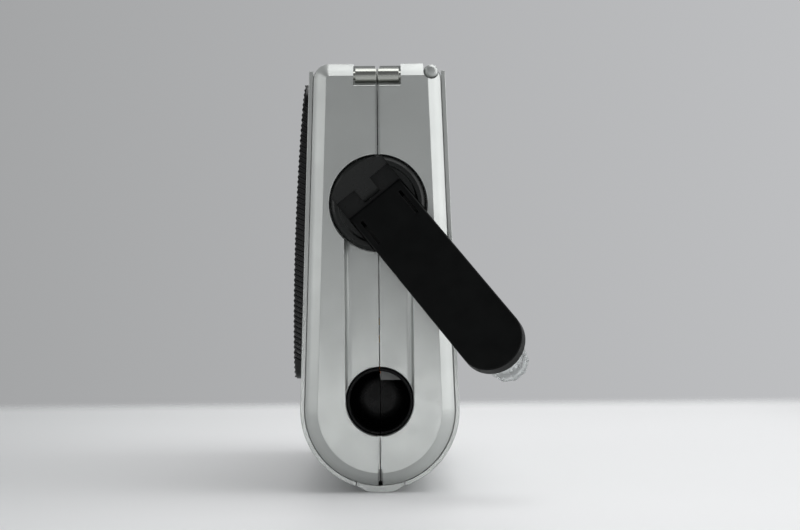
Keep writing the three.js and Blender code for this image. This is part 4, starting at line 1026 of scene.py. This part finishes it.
def add_panels():
    through = (-OVERRUN, PANEL_FACE)
    front = plate(panel_outline(-1), -PANEL_END, PANEL_END, PANEL_EDGE)
    cut(front,
        opening(on_front(GRILLE_X, GRILLE_MIDDLE),
                box_hole(GRILLE_WIDTH, GRILLE_TALL, GRILLE_CORNER + GAP, GAP), *through, PANEL_RIM),
        opening(on_front(DIAL_X, DIAL_HEIGHT),
                box_hole(DIAL_WIDTH, DIAL_TALL, DOOR_CORNER, GAP), *through, PANEL_RIM),
        *control_openings(*through, knob_rim=0.2, slot_rim=0.25))
    finished(front, "facing_panel_front", "root", "silver", "front_panel")
    rear = plate(panel_outline(1), -PANEL_END, PANEL_END, PANEL_EDGE)
    cut(rear,
        door_opening(*through, PANEL_RIM),
        block(-END, lug_high.x + GAP, 0, CASE_RADIUS + OVERRUN, REBATE_FLOOR, TOP),
        *screw_openings(lambda height: 0, CASE_RADIUS + 2 * OVERRUN))
    finished(rear, "facing_panel_rear", "root", "silver", "rear_panel")


FOOT_FLAT = 4.4
FOOT_BEND = 5


def add_base_pad():
    """The foot carries the round bottom on down to a narrow flat."""
    seat = CASE_RADIUS + GAP
    edge = math.asin(PAD_HALF / seat)
    top = arc((0, ROUND_CENTRE), seat, edge - math.pi / 2, -edge - math.pi / 2, 24)
    side = ROUND_CENTRE - math.sqrt((CASE_RADIUS + PANEL_FACE) ** 2 - PAD_HALF ** 2)
    low = [(-PAD_HALF, side), (-FOOT_FLAT, 0, FOOT_BEND), (FOOT_FLAT, 0, FOOT_BEND), (PAD_HALF, side)]
    pad = along_x(rounded(low + top, closed=True), pad_low.x, pad_high.x)
    finished(pad, "flat_foot", "root", "silver", "base_pad")


# The crank

CUP_WALL = 1.2
CUP_BEND = 5
LEDGE_FACE = END - 8
LEDGE_RISE = 7.1


def cup_half(side):
    """One half of the cup that the knob folds into. The rear half has a ledge."""
    floor = cup_low.x + CUP_WALL
    cup = turned_on(rounded([
        (0, cup_low.x),
        (CUP_RADIUS, cup_low.x, 0.4),
        (CUP_RADIUS, cup_high.x, 0.3),
        (CUP_RADIUS - CUP_WALL, cup_high.x, 0.4),
        (CUP_RADIUS - CUP_WALL, floor, CUP_BEND),
        (0, floor),
    ]), 0, CUP_HEIGHT)
    if side > 0:
        low = CUP_HEIGHT + LEDGE_RISE
        ledge = block(floor - 0.2, LEDGE_FACE, GAP, CUP_RADIUS, low, CUP_HEIGHT + CUP_RADIUS)
        join(cup, shared(ledge, along_x(circle(0, CUP_HEIGHT, CUP_RADIUS - CUP_WALL / 2), floor - 1, END)))
    reach = CUP_RADIUS + OVERRUN
    y0, y1 = sorted((side * GAP / 2, side * reach))
    return shared(cup, block(cup_low.x - OVERRUN, END, y0, y1, CUP_HEIGHT - reach, CUP_HEIGHT + reach))


def add_cup():
    # The cup halves are black plastic, darker than the black satin as painted shade in the deep pocket.
    finished(cup_half(-1), "pocket_half_front", "root", "black_satin", "pocket_cup_front", look="pocket")
    rear = finished(cup_half(1), "pocket_half_rear", "root", "black_satin", "pocket_cup_rear", look="pocket")
    # The ledge's face is painted lighter grey as a painted highlight inside the dark pocket.
    repaint(rear, "ledge", lambda place: abs(place.x - LEDGE_FACE) < 0.1)


HUB_BEVEL = 1.5
HUB_LIP = 1.3
RAMP_START = 8.6
RAMP_TILT = math.radians(22)
TONGUE_WIDTH = 6.6


def ramp_x(height):
    """The slope that the arm lies along when it is folded right out."""
    clear = (BARREL_RADIUS + GAP) / math.cos(RAMP_TILT)
    return fold_place.x - clear + (height + HINGE_OFFSET) * math.tan(RAMP_TILT)


def hub_ramp():
    start = RAMP_START - HAIR
    far = HUB_RADIUS + OVERRUN
    outside = HUB_FACE + OVERRUN
    outline = [(ramp_x(start), start), (ramp_x(far), far), (outside, far), (outside, start)]
    return along_y(outline, -SLOT_HALF, SLOT_HALF)


def hub_tongue():
    """The narrow tongue between the slits of the arm, a hair below the slope."""
    low = BARREL_RADIUS + 2 * GAP
    high = RAMP_START + 0.5
    deep = CHANNEL_FLOOR - 1
    sink = 2 * HAIR
    slope = [(ramp_x(low) - sink, low, 0.3), (ramp_x(high) - sink, high)]
    outline = rounded([(deep, low), *slope, (deep, high)])
    return along_y(outline, -TONGUE_WIDTH / 2, TONGUE_WIDTH / 2)


def add_hub():
    """The hub is drawn round its own axis, with the slot for the arm running down from it."""
    ring = HUB_RADIUS - HUB_BEVEL
    hub = turned(rounded([
        (0, HUB_BACK),
        (HUB_RADIUS, HUB_BACK, 0.3),
        (HUB_RADIUS, HUB_FACE - HUB_BEVEL, 0.25),
        (ring, HUB_FACE, 0.5),
        (ring - HUB_LIP, HUB_FACE, 0.4),
        (ring - HUB_LIP - 0.5, END, 0.3),
        (0, END),
    ]))
    slot = block(CHANNEL_FLOOR, HUB_FACE + OVERRUN, -SLOT_HALF, SLOT_HALF, -CASE_RADIUS, RAMP_START)
    cut(hub, slot, hub_ramp())
    join(hub, hub_tongue())
    reach = SLOT_HALF + PIN_REACH + GAP
    pin_hole = turned([(PIN_RADIUS + GAP, -reach), (PIN_RADIUS + GAP, reach)], SMALL)
    cut(hub, moved(pin_hole, shift(fold_place.x, 0, -HINGE_OFFSET) @ TURN_Z))
    finished(moved(hub, hub_frame), "hub", "crank_hub", "black_gloss", "crank_hub")


KNOB_SIDES = 10
KNOB_CORNER = 0.4
KNOB_LENGTH = 18.6
KNOB_RADIUS = 6.9
KNOB_EDGE = 0.5
KNOB_BORE = 1.8
KNOB_SCREW_RADIUS = 3.5
KNOB_SCREW_DEPTH = 1.8

ARM_EDGE = 0.55
ARM_BACK_EDGE = 0.3
SLIT_LENGTH = 11
SLIT_WIDTH = 1.1
EAR_WIDTH = 2
ARM_SKIN = 1.6
ARM_RIM = 1.4
ARM_WEB_HALF = 0.7  # of the web between the two recesses in the arm's back


def arm_outline(inset):
    half = ARM_WIDTH / 2 - inset
    end = arc((0, HINGE_OFFSET - ARM_REACH), half, 0, -math.pi, 56)
    return [(half, 0), *end, (-half, 0)]


def add_arm():
    """The arm is drawn round its hinge pin, hanging down, with its outer face to +x."""
    outside = BARREL_RADIUS
    inside = BARREL_RADIUS - ARM_THICKNESS
    arm = plate(arm_outline, inside, outside, ARM_EDGE, ARM_BACK_EDGE)
    barrel = along_y(circle(0, 0, BARREL_RADIUS - HAIR), -ARM_WIDTH / 2, ARM_WIDTH / 2)
    pins = along_y(circle(0, 0, PIN_RADIUS, SMALL), -SLOT_HALF - PIN_REACH, SLOT_HALF + PIN_REACH)
    slit_middle = (ARM_WIDTH - SLIT_WIDTH) / 2 - EAR_WIDTH
    slit_end = -BARREL_RADIUS - SLIT_LENGTH
    high = slit_end - ARM_RIM
    low = HINGE_OFFSET - ARM_REACH + KNOB_RADIUS + ARM_RIM
    width = ARM_WIDTH / 2 - ARM_RIM - ARM_WEB_HALF
    slit = box_hole(SLIT_WIDTH, SLIT_LENGTH, 0.4)
    recess = box_hole(width, high - low, 1.2)
    slits = []
    recesses = []
    for side in (-1, 1):
        place = shift(0, side * slit_middle, slit_end + SLIT_LENGTH / 2)
        slits.append(opening(place, slit, inside - OVERRUN, outside, 0.2))
        place = shift(0, side * (width / 2 + ARM_WEB_HALF), (high + low) / 2) @ OUT_OF_LEFT
        recesses.append(opening(place, recess, ARM_SKIN - outside, -inside, 0.2, 0.3))
    join(arm, barrel, pins)
    cut(arm, *slits, *recesses)
    finished(moved(arm, arm_frame), "arm", "crank_arm", "black_satin", "crank_arm")


def decagon(radius):
    angles = [2 * math.pi * side / KNOB_SIDES for side in range(KNOB_SIDES)]
    points = [(radius * math.cos(a), radius * math.sin(a)) for a in angles]
    return rounded(points, KNOB_CORNER, 4, closed=True)


def add_knob():
    """A ten-sided clear knob with round ends and a bore for its pin."""
    rows = rounded([
        (0, -KNOB_LENGTH),
        (KNOB_RADIUS, -KNOB_LENGTH, KNOB_EDGE),
        (KNOB_RADIUS, 0, KNOB_EDGE),
        (0, 0),
    ])
    knob = layered(decagon, [(x, radius) for radius, x in rows[1:-1]])
    far = -KNOB_LENGTH - OVERRUN
    cut(knob,
        along_x(circle(0, 0, KNOB_BORE, SMALL), far, OVERRUN),
        along_x(circle(0, 0, KNOB_SCREW_RADIUS, SMALL), far, KNOB_SCREW_DEPTH - KNOB_LENGTH))
    finished(moved(knob, knob_frame), "knob", "crank_knob", "clear", "crank_knob", sharp=24)


# The speaker grille

GRILLE_PROUD = 1.9
GRILLE_CROWN = 1.5
GRILLE_LEAN = 0.45
GRILLE_RIM = 1.6
RIM_EDGE = 0.45
RIM_DROP = 0.45
RIB_RADIUS = 0.42
RIB_SLANT = 0.55
GRILLE_SHEET = 0.9
ROW_PITCH = 1.75
HOLE_PITCH = 2.0
HOLE_RADIUS = 0.58
HOLE_DIP = 0.34
grille_foot = up_side(GRILLE_LOW)
grille_top = up_side(GRILLE_HIGH)


def grille_stand(up):
    """How far the grille stands off the case's side at a height up it."""
    low = grille_foot - OVERRUN
    high = grille_top + OVERRUN
    share = 2 * (up - low) / (high - low) - 1
    return PANEL_FACE + GRILLE_PROUD + GRILLE_CROWN * (1 - share * share) - GRILLE_LEAN * share


def grille_outline(inset):
    """A rounded rectangle whose straight sides are divided, so that it can follow the crown."""
    half = GRILLE_WIDTH / 2 - inset
    corners = rectangle(GRILLE_X - half, GRILLE_X + half, grille_foot + inset, grille_top - inset,
                        GRILLE_CORNER - inset)
    points = []
    for at, (x, up) in enumerate(corners):
        next_x, next_up = corners[(at + 1) % len(corners)]
        parts = 24 if at % (BEND + 1) == BEND else 1
        for part in range(parts):
            share = part / parts
            points.append((x + (next_x - x) * share, up + (next_up - up) * share))
    return points


def grille_rim():
    """The rolled rim of the grille with its ribs. It stands on the case with two flat feet."""
    def foot(inset):
        return [(x, -GAP, up) for x, up in grille_outline(inset)]

    rows = [(inset, drop) for drop, inset in quarter(RIM_EDGE)]
    rows += [(GRILLE_RIM - 0.3, 0), (GRILLE_RIM, 0.3)]
    rings = [foot(0)]
    for inset, drop in rows:
        rings.append([(x, RIM_DROP + drop - grille_stand(up), up) for x, up in grille_outline(inset)])
    rings.append(foot(GRILLE_RIM))
    rim = join(stack(rings, closed=True), gathered(grille_ribs()))
    finished(moved(rim, front_side), "grille_rim", "root", "grille_black", "speaker_grille")


def grille_ribs():
    """The folded edge of the mesh: slanting ribs down both upright sides, one for each row of holes."""
    ribs = []
    ends = GRILLE_CORNER - 2
    low = grille_foot + ends
    high = grille_top - ends
    for side in (-1, 1):
        x = GRILLE_X + side * GRILLE_WIDTH / 2
        for row in range(int((high - low) / ROW_PITCH) + 1):
            up = low + row * ROW_PITCH
            rib = []
            for y, rise in ((0.5 - grille_stand(up), RIB_SLANT), (-PANEL_FACE - GAP, -RIB_SLANT)):
                rib.append([(x + a, y, up + rise + b) for a, b in circle(0, 0, RIB_RADIUS, 8)])
            ribs.append(stack(rib))
    return ribs


def in_grille(x, up):
    margin = GRILLE_RIM - 0.9
    half = GRILLE_WIDTH / 2 - margin
    tall = (grille_top - grille_foot) / 2 - margin
    corner = GRILLE_CORNER - margin
    side = max(abs(x - GRILLE_X) - (half - corner), 0)
    rise = max(abs(up - (grille_top + grille_foot) / 2) - (tall - corner), 0)
    return math.hypot(side, rise) < corner


def grille_sheet():
    """Rows of round holes, each row half a hole along from the next, with a ridge between the rows."""
    rows = int(GRILLE_TALL / 2 / ROW_PITCH) + 1
    columns = int(GRILLE_WIDTH / 2 / HOLE_PITCH) + 1
    sides = [(1, 0), (1, 1), (0, 1), (-1, 1), (-1, 0), (-1, -1), (0, -1), (1, -1)]
    turns = [math.pi / 4 * at for at in range(8)]
    places = {}
    points = []
    faces = []
    borders = {}

    def spot(x, up, depth, back):
        key = (round(x, 3), round(up, 3), back)
        if key not in places:
            places[key] = len(points)
            points.append((x, (GRILLE_SHEET if back else depth) - grille_stand(up), up))
        return places[key]

    for row in range(-rows, rows + 1):
        for column in range(-columns, columns + 1):
            x = GRILLE_X + (column + row % 2 / 2) * HOLE_PITCH
            up = (grille_top + grille_foot) / 2 + row * ROW_PITCH
            if not in_grille(x, up):
                continue
            outer = [(x + a * HOLE_PITCH / 2, up + b * ROW_PITCH / 2, 0 if b else HOLE_DIP) for a, b in sides]
            hole = [(x + HOLE_RADIUS * math.cos(a), up + HOLE_RADIUS * math.sin(a), HOLE_DIP) for a in turns]
            front = [spot(*place, False) for place in outer]
            back = [spot(*place, True) for place in outer]
            mouth = [spot(*place, False) for place in hole]
            throat = [spot(*place, True) for place in hole]
            for at in range(8):
                on = (at + 1) % 8
                faces.append((front[at], front[on], mouth[on], mouth[at]))
                faces.append((back[on], back[at], throat[at], throat[on]))
                faces.append((mouth[at], mouth[on], throat[on], throat[at]))
                edge = tuple(sorted((front[at], front[on])))
                borders[edge] = None if edge in borders else (front[at], front[on], back[on], back[at])
    faces += [wall for wall in borders.values() if wall]
    sheet = moved(solid(points, faces), front_side)
    finished(sheet, "grille_sheet", "root", "grille_black", sharp=50)


# The front's dial, knobs and switches

TEXT_TO_FACE = Matrix(((0, 0, 1, 0), (1, 0, 0, 0), (0, 1, 0, 0), (0, 0, 0, 1)))
DIAL_PLATE = -(WALL + 2)
DIAL_THICKNESS = 1.2
SCALE_ROWS = (("88", "92", "96", "100", "104", "108"), ("53", "60", "70", "90", "120", "160"))
SCALE_RISE = 6.2
SCALE_TICKS = 5  # from one number to the next
SCALE_END = 5
TICK_RISE = 3
NUMBER_SIZE = 3.2


def number(text, tall):
    """A printed number: thin, standing on its face, and centred on its place."""
    curve = bpy.data.curves.new("number", "FONT")
    curve.body = text
    curve.size = tall
    curve.extrude = 0.05
    curve.align_x = "CENTER"
    curve.align_y = "CENTER"
    body = placed("number", curve)
    mesh = evaluated_mesh(body)
    bpy.data.objects.remove(body, do_unlink=True)
    return placed("number", mesh)


def dial_marks():
    """Two rows of plain numbers, each with a line of ticks on its inner side."""
    low = DIAL_PLATE - 0.05
    high = DIAL_PLATE + 0.06
    ends = DIAL_WIDTH / 2 - SCALE_END
    marks = []
    for side, texts in zip((1, -1), SCALE_ROWS):
        rise = side * SCALE_RISE
        inner = rise - side * TICK_RISE
        last = len(texts) - 1
        for at, text in enumerate(texts):
            along = ends * (2 * at / last - 1)
            marks.append(moved(number(text, NUMBER_SIZE), shift(high, along, rise) @ TEXT_TO_FACE))
        for at in range(SCALE_TICKS * last + 1):
            along = ends * (2 * at / (SCALE_TICKS * last) - 1)
            tall = 0.5 if at % SCALE_TICKS else 0.9
            marks.append(block(low, high, along - 0.12, along + 0.12, inner - tall, inner + tall))
        marks.append(block(low, high - 0.01, -ends, ends, inner - 0.1, inner + 0.1))
    return gathered(marks)


def add_dial():
    place = on_front(DIAL_X, DIAL_HEIGHT)
    window = rounded_plate(DIAL_WIDTH, DIAL_TALL, DOOR_CORNER, PANEL_FACE - DIAL_THICKNESS, PANEL_FACE, 0.3)
    finished(moved(window, place), "dial_glass", "root", "clear", "dial_window", look="window")
    finished(moved(dial_marks(), place), "dial_print", "root", "black_satin")
    pointer = size("dial_pointer")
    tall = pointer.z / math.cos(SIDE_TAPER)
    needle = rounded_plate(pointer.x, tall, 0.6, DIAL_PLATE + 0.3, DIAL_PLATE + 1.1, 0.2)
    finished(moved(needle, place), "dial_needle", "dial_pointer", "pointer_red", "dial_pointer")


FLUTES = 14
FLUTE_DEPTH = 0.7
FLUTE_STEPS = 12
KNOB_PROUD = 2.2
KNOB_RING = 2.8
CONTROL_FACE = -(WALL + 2)


def fluted(radius, inset, depth):
    """A circle with narrow scallops in its edge."""
    points = []
    for step in range(FLUTES * FLUTE_STEPS):
        angle = 2 * math.pi * step / (FLUTES * FLUTE_STEPS)
        notch = ((1 + math.cos(FLUTES * angle)) / 2) ** 5
        reach = radius - inset - depth * notch
        points.append((reach * math.cos(angle), reach * math.sin(angle)))
    return points


def add_round_knob(name, node, x, radius):
    """A fluted knob with a dished face and a round mark. A row holds inset, height and flute depth."""
    seat = PANEL_FACE + GAP
    face = seat + KNOB_PROUD
    rows = [
        (0.25, seat, FLUTE_DEPTH),
        (0, seat + 0.25, FLUTE_DEPTH),
        (0, face - 0.5, FLUTE_DEPTH),
        (0.15, face - 0.15, FLUTE_DEPTH),
        (0.5, face, FLUTE_DEPTH * 0.6),
        (KNOB_RING - 0.25, face, 0),
        (KNOB_RING, face - 0.15, 0),
        (KNOB_RING + 0.15, face - 0.55, 0),
        (KNOB_RING + 0.5, face - 0.7, 0),
        (radius - 1.5, face - 0.55, 0),
    ]
    knob = stack([in_x(fluted(radius, inset, depth), out) for inset, out, depth in rows])
    spindle = along_x(circle(0, 0, SPINDLE_RADIUS, SMALL), CONTROL_FACE + GAP, face - 1.4)
    mark = along_x(circle(0, radius - KNOB_RING - 1.6, 0.55, SMALL), face - 1.2, face - 0.3)
    join(knob, spindle, mark)
    finished(moved(knob, on_front(x, KNOB_ROW)), name, node, "black_satin", node, look="control")


STEM_END = CONTROL_FACE + 0.8
MASK_LOW = CONTROL_FACE + 0.1
MASK_HIGH = CONTROL_FACE + 0.5
CAP_PROUD = 1.2
CAP_BACK = -1.6
CAP_HALF = 2.5
CAP_CHAMFER = 0.2


def add_switch(name, node, x):
    """A cap with three ridges and chamfered ends, on a stem."""
    top = PANEL_FACE + CAP_PROUD
    half = SWITCH_LENGTH / 2
    outline = [(-half, CAP_BACK, 0.1), (half, CAP_BACK, 0.1), (half, top, 0.35)]
    for ridge in (2, 0, -2):
        outline += [
            (ridge + 0.45, top, 0.08),
            (ridge + 0.2, top + 0.3, 0.12),
            (ridge - 0.2, top + 0.3, 0.12),
            (ridge - 0.45, top, 0.08),
        ]
    outline.append((-half, top, 0.35))
    section = rounded(outline, steps=3, closed=True)
    centre = top / 2
    rings = []
    straight = CAP_HALF - CAP_CHAMFER
    for up in (-CAP_HALF, -straight, straight, CAP_HALF):
        shrink = 1 - max(abs(up) - straight, 0) / half
        rings.append([(centre + (out - centre) * shrink, along * shrink, up) for along, out in section])
    cap = join(stack(rings), block(STEM_END, -1, -half / 2, half / 2, -1.25, 1.25))
    finished(moved(cap, on_front(x, SWITCH_HEIGHT)), name, node, "black_satin", node, look="control")


def add_switch_backing():
    """A black mask on the board behind the switch slots."""
    width = SWITCH_XS[1] - SWITCH_XS[0] + SWITCH_LENGTH + 4 * SWITCH_TRAVEL
    strip = rounded_plate(width, SWITCH_TALL + 9, 1.5, MASK_LOW, MASK_HIGH, 0.1)
    place = on_front((SWITCH_XS[0] + SWITCH_XS[1]) / 2, SWITCH_HEIGHT)
    finished(moved(strip, place), "switch_backing", "root", "black_satin")


# The lamp

LENS_RADIUS = BEZEL_RADIUS - 1.3
BOWL_DEPTH = 15 - GAP
BOWL_BASE = 8
BOWL_STEPS = 24


def lamp_part(profile, closed=True):
    return turned_on(profile, 0, LAMP_HEIGHT, closed=closed)


def add_lamp():
    add_bezel()
    add_lens()
    add_reflector()
    for at in range(3):
        add_diode(f"diode_{at + 1}", f"led_{at + 1}")


def add_bezel():
    face = bezel_low.x
    seat = bezel_high.x
    lip = BEZEL_RADIUS - 2.4
    bezel = lamp_part(rounded([
        (lip, face + 0.5, 0.2),
        (lip + 1, face, 0.3),
        (BEZEL_RADIUS - 1, face, 0.4),
        (BEZEL_RADIUS, face + 1, 0.4),
        (BEZEL_RADIUS, seat, 0.1),
        (BEZEL_RADIUS - 1, seat, 0.1),
        (BEZEL_RADIUS - 1, -END + GAP),
        (lip, -END + GAP, 0.1),
    ], closed=True))
    finished(bezel, "lamp_ring", "root", "black_gloss", "lamp_bezel")


def add_lens():
    low, high = box("lamp_lens")
    lens = lamp_part(rod(LENS_RADIUS, low.x, high.x, 0.25, 0.25), closed=False)
    finished(lens, "lamp_glass", "root", "clear", "lamp_lens", look="window")


def add_reflector():
    """A bowl of even thickness with a flange at its mouth."""
    mouth = bezel_high.x + GAP
    wide = LENS_RADIUS - 1
    bowl = []
    for step in range(BOWL_STEPS + 1):
        share = step / BOWL_STEPS
        bowl.append((wide - (wide - BOWL_BASE) * share ** 2, mouth + BOWL_DEPTH * share))
    back = [(radius + 1, x) for radius, x in reversed(bowl) if x > mouth + 1.2]
    flange = [(wide + 1, mouth + 1), (BEZEL_RADIUS, mouth + 1), (BEZEL_RADIUS, mouth)]
    finished(lamp_part(bowl + back + flange), "lamp_mirror", "root", "reflector_chrome", "lamp_reflector")


def add_diode(name, node):
    low, high = box(node)
    radius = (high.z - low.z) / 2
    rim = radius + 0.25
    dome = arc((low.x + radius, 0), radius, math.pi, math.pi / 2, 10)
    foot = [(radius, high.x - 1), (rim, high.x - 0.95, 0.05), (rim, high.x, 0.05), (AXIS, high.x)]
    profile = [(max(rise, AXIS), x) for x, rise in dome] + rounded(foot, steps=2)
    led = turned_on(profile, middle(node).y, middle(node).z, SMALL)
    finished(led, name, "root", "clear", node, look="diode")


# Sockets, their cover, and the screws

FLANGE_RADIUS = 5.4
BORES = (1.8, 2.4)
PLUGS = (1.5, 2.1)
COVER_WIDTH = 13
COVER_TALL = 30
COVER_CORNER = 6.4
COVER_THICKNESS = 1.4
CROSS_REACH = 1.5
CROSS_HALF = 0.3


def add_socket(name, height, bore):
    low, high = box(name)
    floor = high.x - WALL
    inside = -END + WALL + GAP
    profile = rounded([
        (bore, low.x),
        (SOCKET_RADIUS, low.x, 0.3),
        (SOCKET_RADIUS, inside),
        (FLANGE_RADIUS, inside, 0.2),
        (FLANGE_RADIUS, inside + WALL, 0.2),
        (SOCKET_RADIUS, inside + WALL),
        (SOCKET_RADIUS, high.x, 0.2),
        (AXIS, high.x),
        (AXIS, floor),
        (bore, floor),
    ])
    socket = turned_on(profile, 0, height, closed=True)
    finished(socket, name + "_body", "root", "black_satin", name)


def add_sockets():
    for name, height, bore in zip(("earphone_socket", "charge_socket"), SOCKET_HEIGHTS, BORES):
        add_socket(name, height, bore)
    pin = rod(0.6, -END + 1.5, box("charge_socket")[1].x - 1, 0.4)
    finished(turned_on(pin, 0, SOCKET_HEIGHTS[1], SMALL), "charge_pin", "root", "steel")


def add_socket_cover():
    """A soft flap with grip ridges at its free end, a crease at its root and a plug for each socket."""
    face = END + GAP
    centre = (SOCKET_HEIGHTS[0] + SOCKET_HEIGHTS[1]) / 2
    cover = rounded_plate(COVER_WIDTH, COVER_TALL, COVER_CORNER, face, face + COVER_THICKNESS, 0.45)
    crease = moved(rounded_plate(20, 0.7, 0.3, face + 1.1, face + 3, 0.2), shift(0, 0, 11.8))
    ridges = [moved(rounded_plate(6.5, 0.8, 0.39, face + 1, face + 1.75, 0.25), shift(0, 0, -rise))
              for rise in (9.2, 10.8, 12.4)]
    plugs = [along_x(circle(0, height - centre, bore, SMALL), END - 1.4, face + 0.5)
             for height, bore in zip(SOCKET_HEIGHTS, PLUGS)]
    cut(cover, crease)
    join(cover, *ridges, *plugs)
    moved(cover, shift(0, 0, centre) @ OUT_OF_LEFT)
    finished(cover, "cover_flap", "socket_cover", "rubber", "socket_cover")


def add_screw(name, node, x, z, shank, head, head_depth, bends, cross_depth):
    """A screw along y with a cross in its head. The bends are at its point, under and on the head."""
    low, high = box(node)
    under = high.y - head_depth
    profile = rounded([
        (AXIS, low.y),
        (shank, low.y, bends[0]),
        (shank, under),
        (head, under, bends[1]),
        (head, high.y, bends[2]),
        (AXIS, high.y),
    ])
    upright = block(-cross_depth, OVERRUN, -CROSS_REACH, CROSS_REACH, -CROSS_HALF, CROSS_HALF)
    level = block(-cross_depth, OVERRUN, -CROSS_HALF, CROSS_HALF, -CROSS_REACH, CROSS_REACH)
    cross = moved(join(upright, level), shift(x, high.y, z) @ TURN_Z)
    finished(cut(turned_y(profile, x, 0, z, SMALL), cross), name, "root", "steel", node)


def add_screws():
    for at, (x, z) in enumerate(screw_places()):
        names = (f"screw_{at + 1}", f"case_screw_{at + 1}")
        add_screw(*names, x, z, 1.3, SCREW_HEAD, 1.8, (0.8, 0.3, 0.6), 1)


# The antenna

TUBE_WALL = 0.35
INNER_RADIUS = ANTENNA_RADIUS - TUBE_WALL - GAP
ROD_RADIUS = INNER_RADIUS - TUBE_WALL - GAP
TIP_LENGTH = 3
LUG_RADIUS = 2.6
LUG_HOLE = 1.5


def on_antenna(profile, closed=False):
    return turned_on(profile, ANTENNA_SIDE, ANTENNA_HEIGHT, SMALL, closed)


def tube(outer, node):
    low, high = box(node)
    inner = outer - TUBE_WALL
    profile = [(inner, low.x), (outer, low.x), (outer, high.x), (inner, high.x)]
    return on_antenna(rounded(profile, 0.1, 3, closed=True), closed=True)


def add_antenna_top():
    """The innermost rod, whose tip is silver."""
    low, high = box("antenna_tube_3")
    root = high.x - TIP_LENGTH
    top = on_antenna(rounded([
        (AXIS, low.x),
        (ROD_RADIUS, low.x, 0.2),
        (ROD_RADIUS, root),
        (ANTENNA_RADIUS, root, 0.4),
        (ANTENNA_RADIUS, high.x, 1.8),
        (AXIS, high.x),
    ]))
    top = finished(top, "antenna_end", "antenna_top", "antenna_chrome", "antenna_tube_3")
    repaint(top, "silver", lambda place: place.x > root - 0.1)


def add_antenna_lug():
    """The swivel at the foot of the antenna, a round lug with a neck and a hole for its screw."""
    pivot = joint_place("antenna_raise")
    width = ANTENNA_RADIUS
    lug = turned_y(rod(LUG_RADIUS, -width, width, 0.4, 0.4), *pivot, SMALL)
    neck = on_antenna(rod(INNER_RADIUS, pivot.x, lug_high.x))
    hole = turned_y([(LUG_HOLE, -2 * width), (LUG_HOLE, 2 * width)], *pivot, SMALL)
    cut(join(lug, neck), hole)
    finished(lug, "antenna_swivel", "antenna_rod", "antenna_chrome", "antenna_lug")


def add_antenna():
    outer = tube(ANTENNA_RADIUS, "antenna_tube_1")
    finished(outer, "antenna_outer", "antenna_rod", "antenna_chrome", "antenna_tube_1")
    inner = tube(INNER_RADIUS, "antenna_tube_2")
    finished(inner, "antenna_inner", "antenna_middle", "antenna_chrome", "antenna_tube_2")
    add_antenna_top()
    add_antenna_lug()
    x = joint_place("antenna_raise").x
    add_screw("swivel_screw", "antenna_screw", x, ANTENNA_HEIGHT, 1.2, 2.4, 1.2, (0.6, 0.15, 0.7), 0.7)


# The battery door and the cells behind it


DOOR_THICKNESS = 2.4
GRIP_DROPS = (5, 7, 9, 11)
NICK_WIDTH = 9
NICK_TALL = 2.4


def add_battery_door():
    """A plate with four grip ridges and a nick for a nail under its top edge."""
    top = DOOR_TALL / 2
    inside = PANEL_FACE - DOOR_THICKNESS
    door = rounded_plate(DOOR_WIDTH, DOOR_TALL, DOOR_CORNER - GAP, inside, PANEL_FACE, 0.4)
    ridges = [moved(rounded_plate(16, 0.9, 0.44, PANEL_FACE - 0.4, PANEL_FACE + 0.45, 0.3),
                    shift(0, 0, top - drop)) for drop in GRIP_DROPS]
    nick = box_hole(NICK_WIDTH, NICK_TALL, 1.1)
    cut(door, opening(shift(0, 0, top - 0.4), nick, PANEL_FACE - 1, PANEL_FACE, 0.3))
    join(door, *ridges)
    finished(moved(door, on_rear(DOOR_X, DOOR_HEIGHT)), "door", "battery_door", "silver", "battery_door")


def add_cell(name, node):
    """A battery with a coloured sleeve and bare steel ends."""
    low, high = box(node)
    centre = middle(node)
    radius = (high.z - low.z) / 2
    top = high.x - 1
    profile = rounded([
        (AXIS, low.x),
        (radius - 0.5, low.x, 0.3),
        (radius, low.x + 0.5, 0.3),
        (radius, top - 0.5, 0.3),
        (radius - 0.6, top, 0.3),
        (2.7, top, 0.2),
        (2.7, high.x, 0.4),
        (AXIS, high.x),
    ])
    cell = finished(turned_on(profile, centre.y, centre.z), name, "root", "cell_label", node)

    def bare(place):
        return math.hypot(place.y - centre.y, place.z - centre.z) < radius - 1.2 or place.x > high.x - 0.9

    repaint(cell, "steel", bare)


dress_nodes()
add_camera()
add_table()
add_room()
add_lights()
bpy.context.scene.view_settings.view_transform = "Standard"
add_shells()
add_strap_bar()
add_panels()
add_base_pad()
add_cup()
add_hub()
add_arm()
add_knob()
grille_rim()
grille_sheet()
add_dial()
add_round_knob("tuning_wheel", "tuning_knob", TUNING_X, TUNING_RADIUS)
add_round_knob("volume_wheel", "volume_knob", VOLUME_X, VOLUME_RADIUS)
add_switch("band_slider", "band_switch", SWITCH_XS[0])
add_switch("light_slider", "light_switch", SWITCH_XS[1])
add_switch_backing()
add_lamp()
add_sockets()
add_socket_cover()
add_screws()
add_antenna()
add_battery_door()
for at in range(3):
    add_cell(f"cell_{at + 1}", f"battery_{at + 1}")
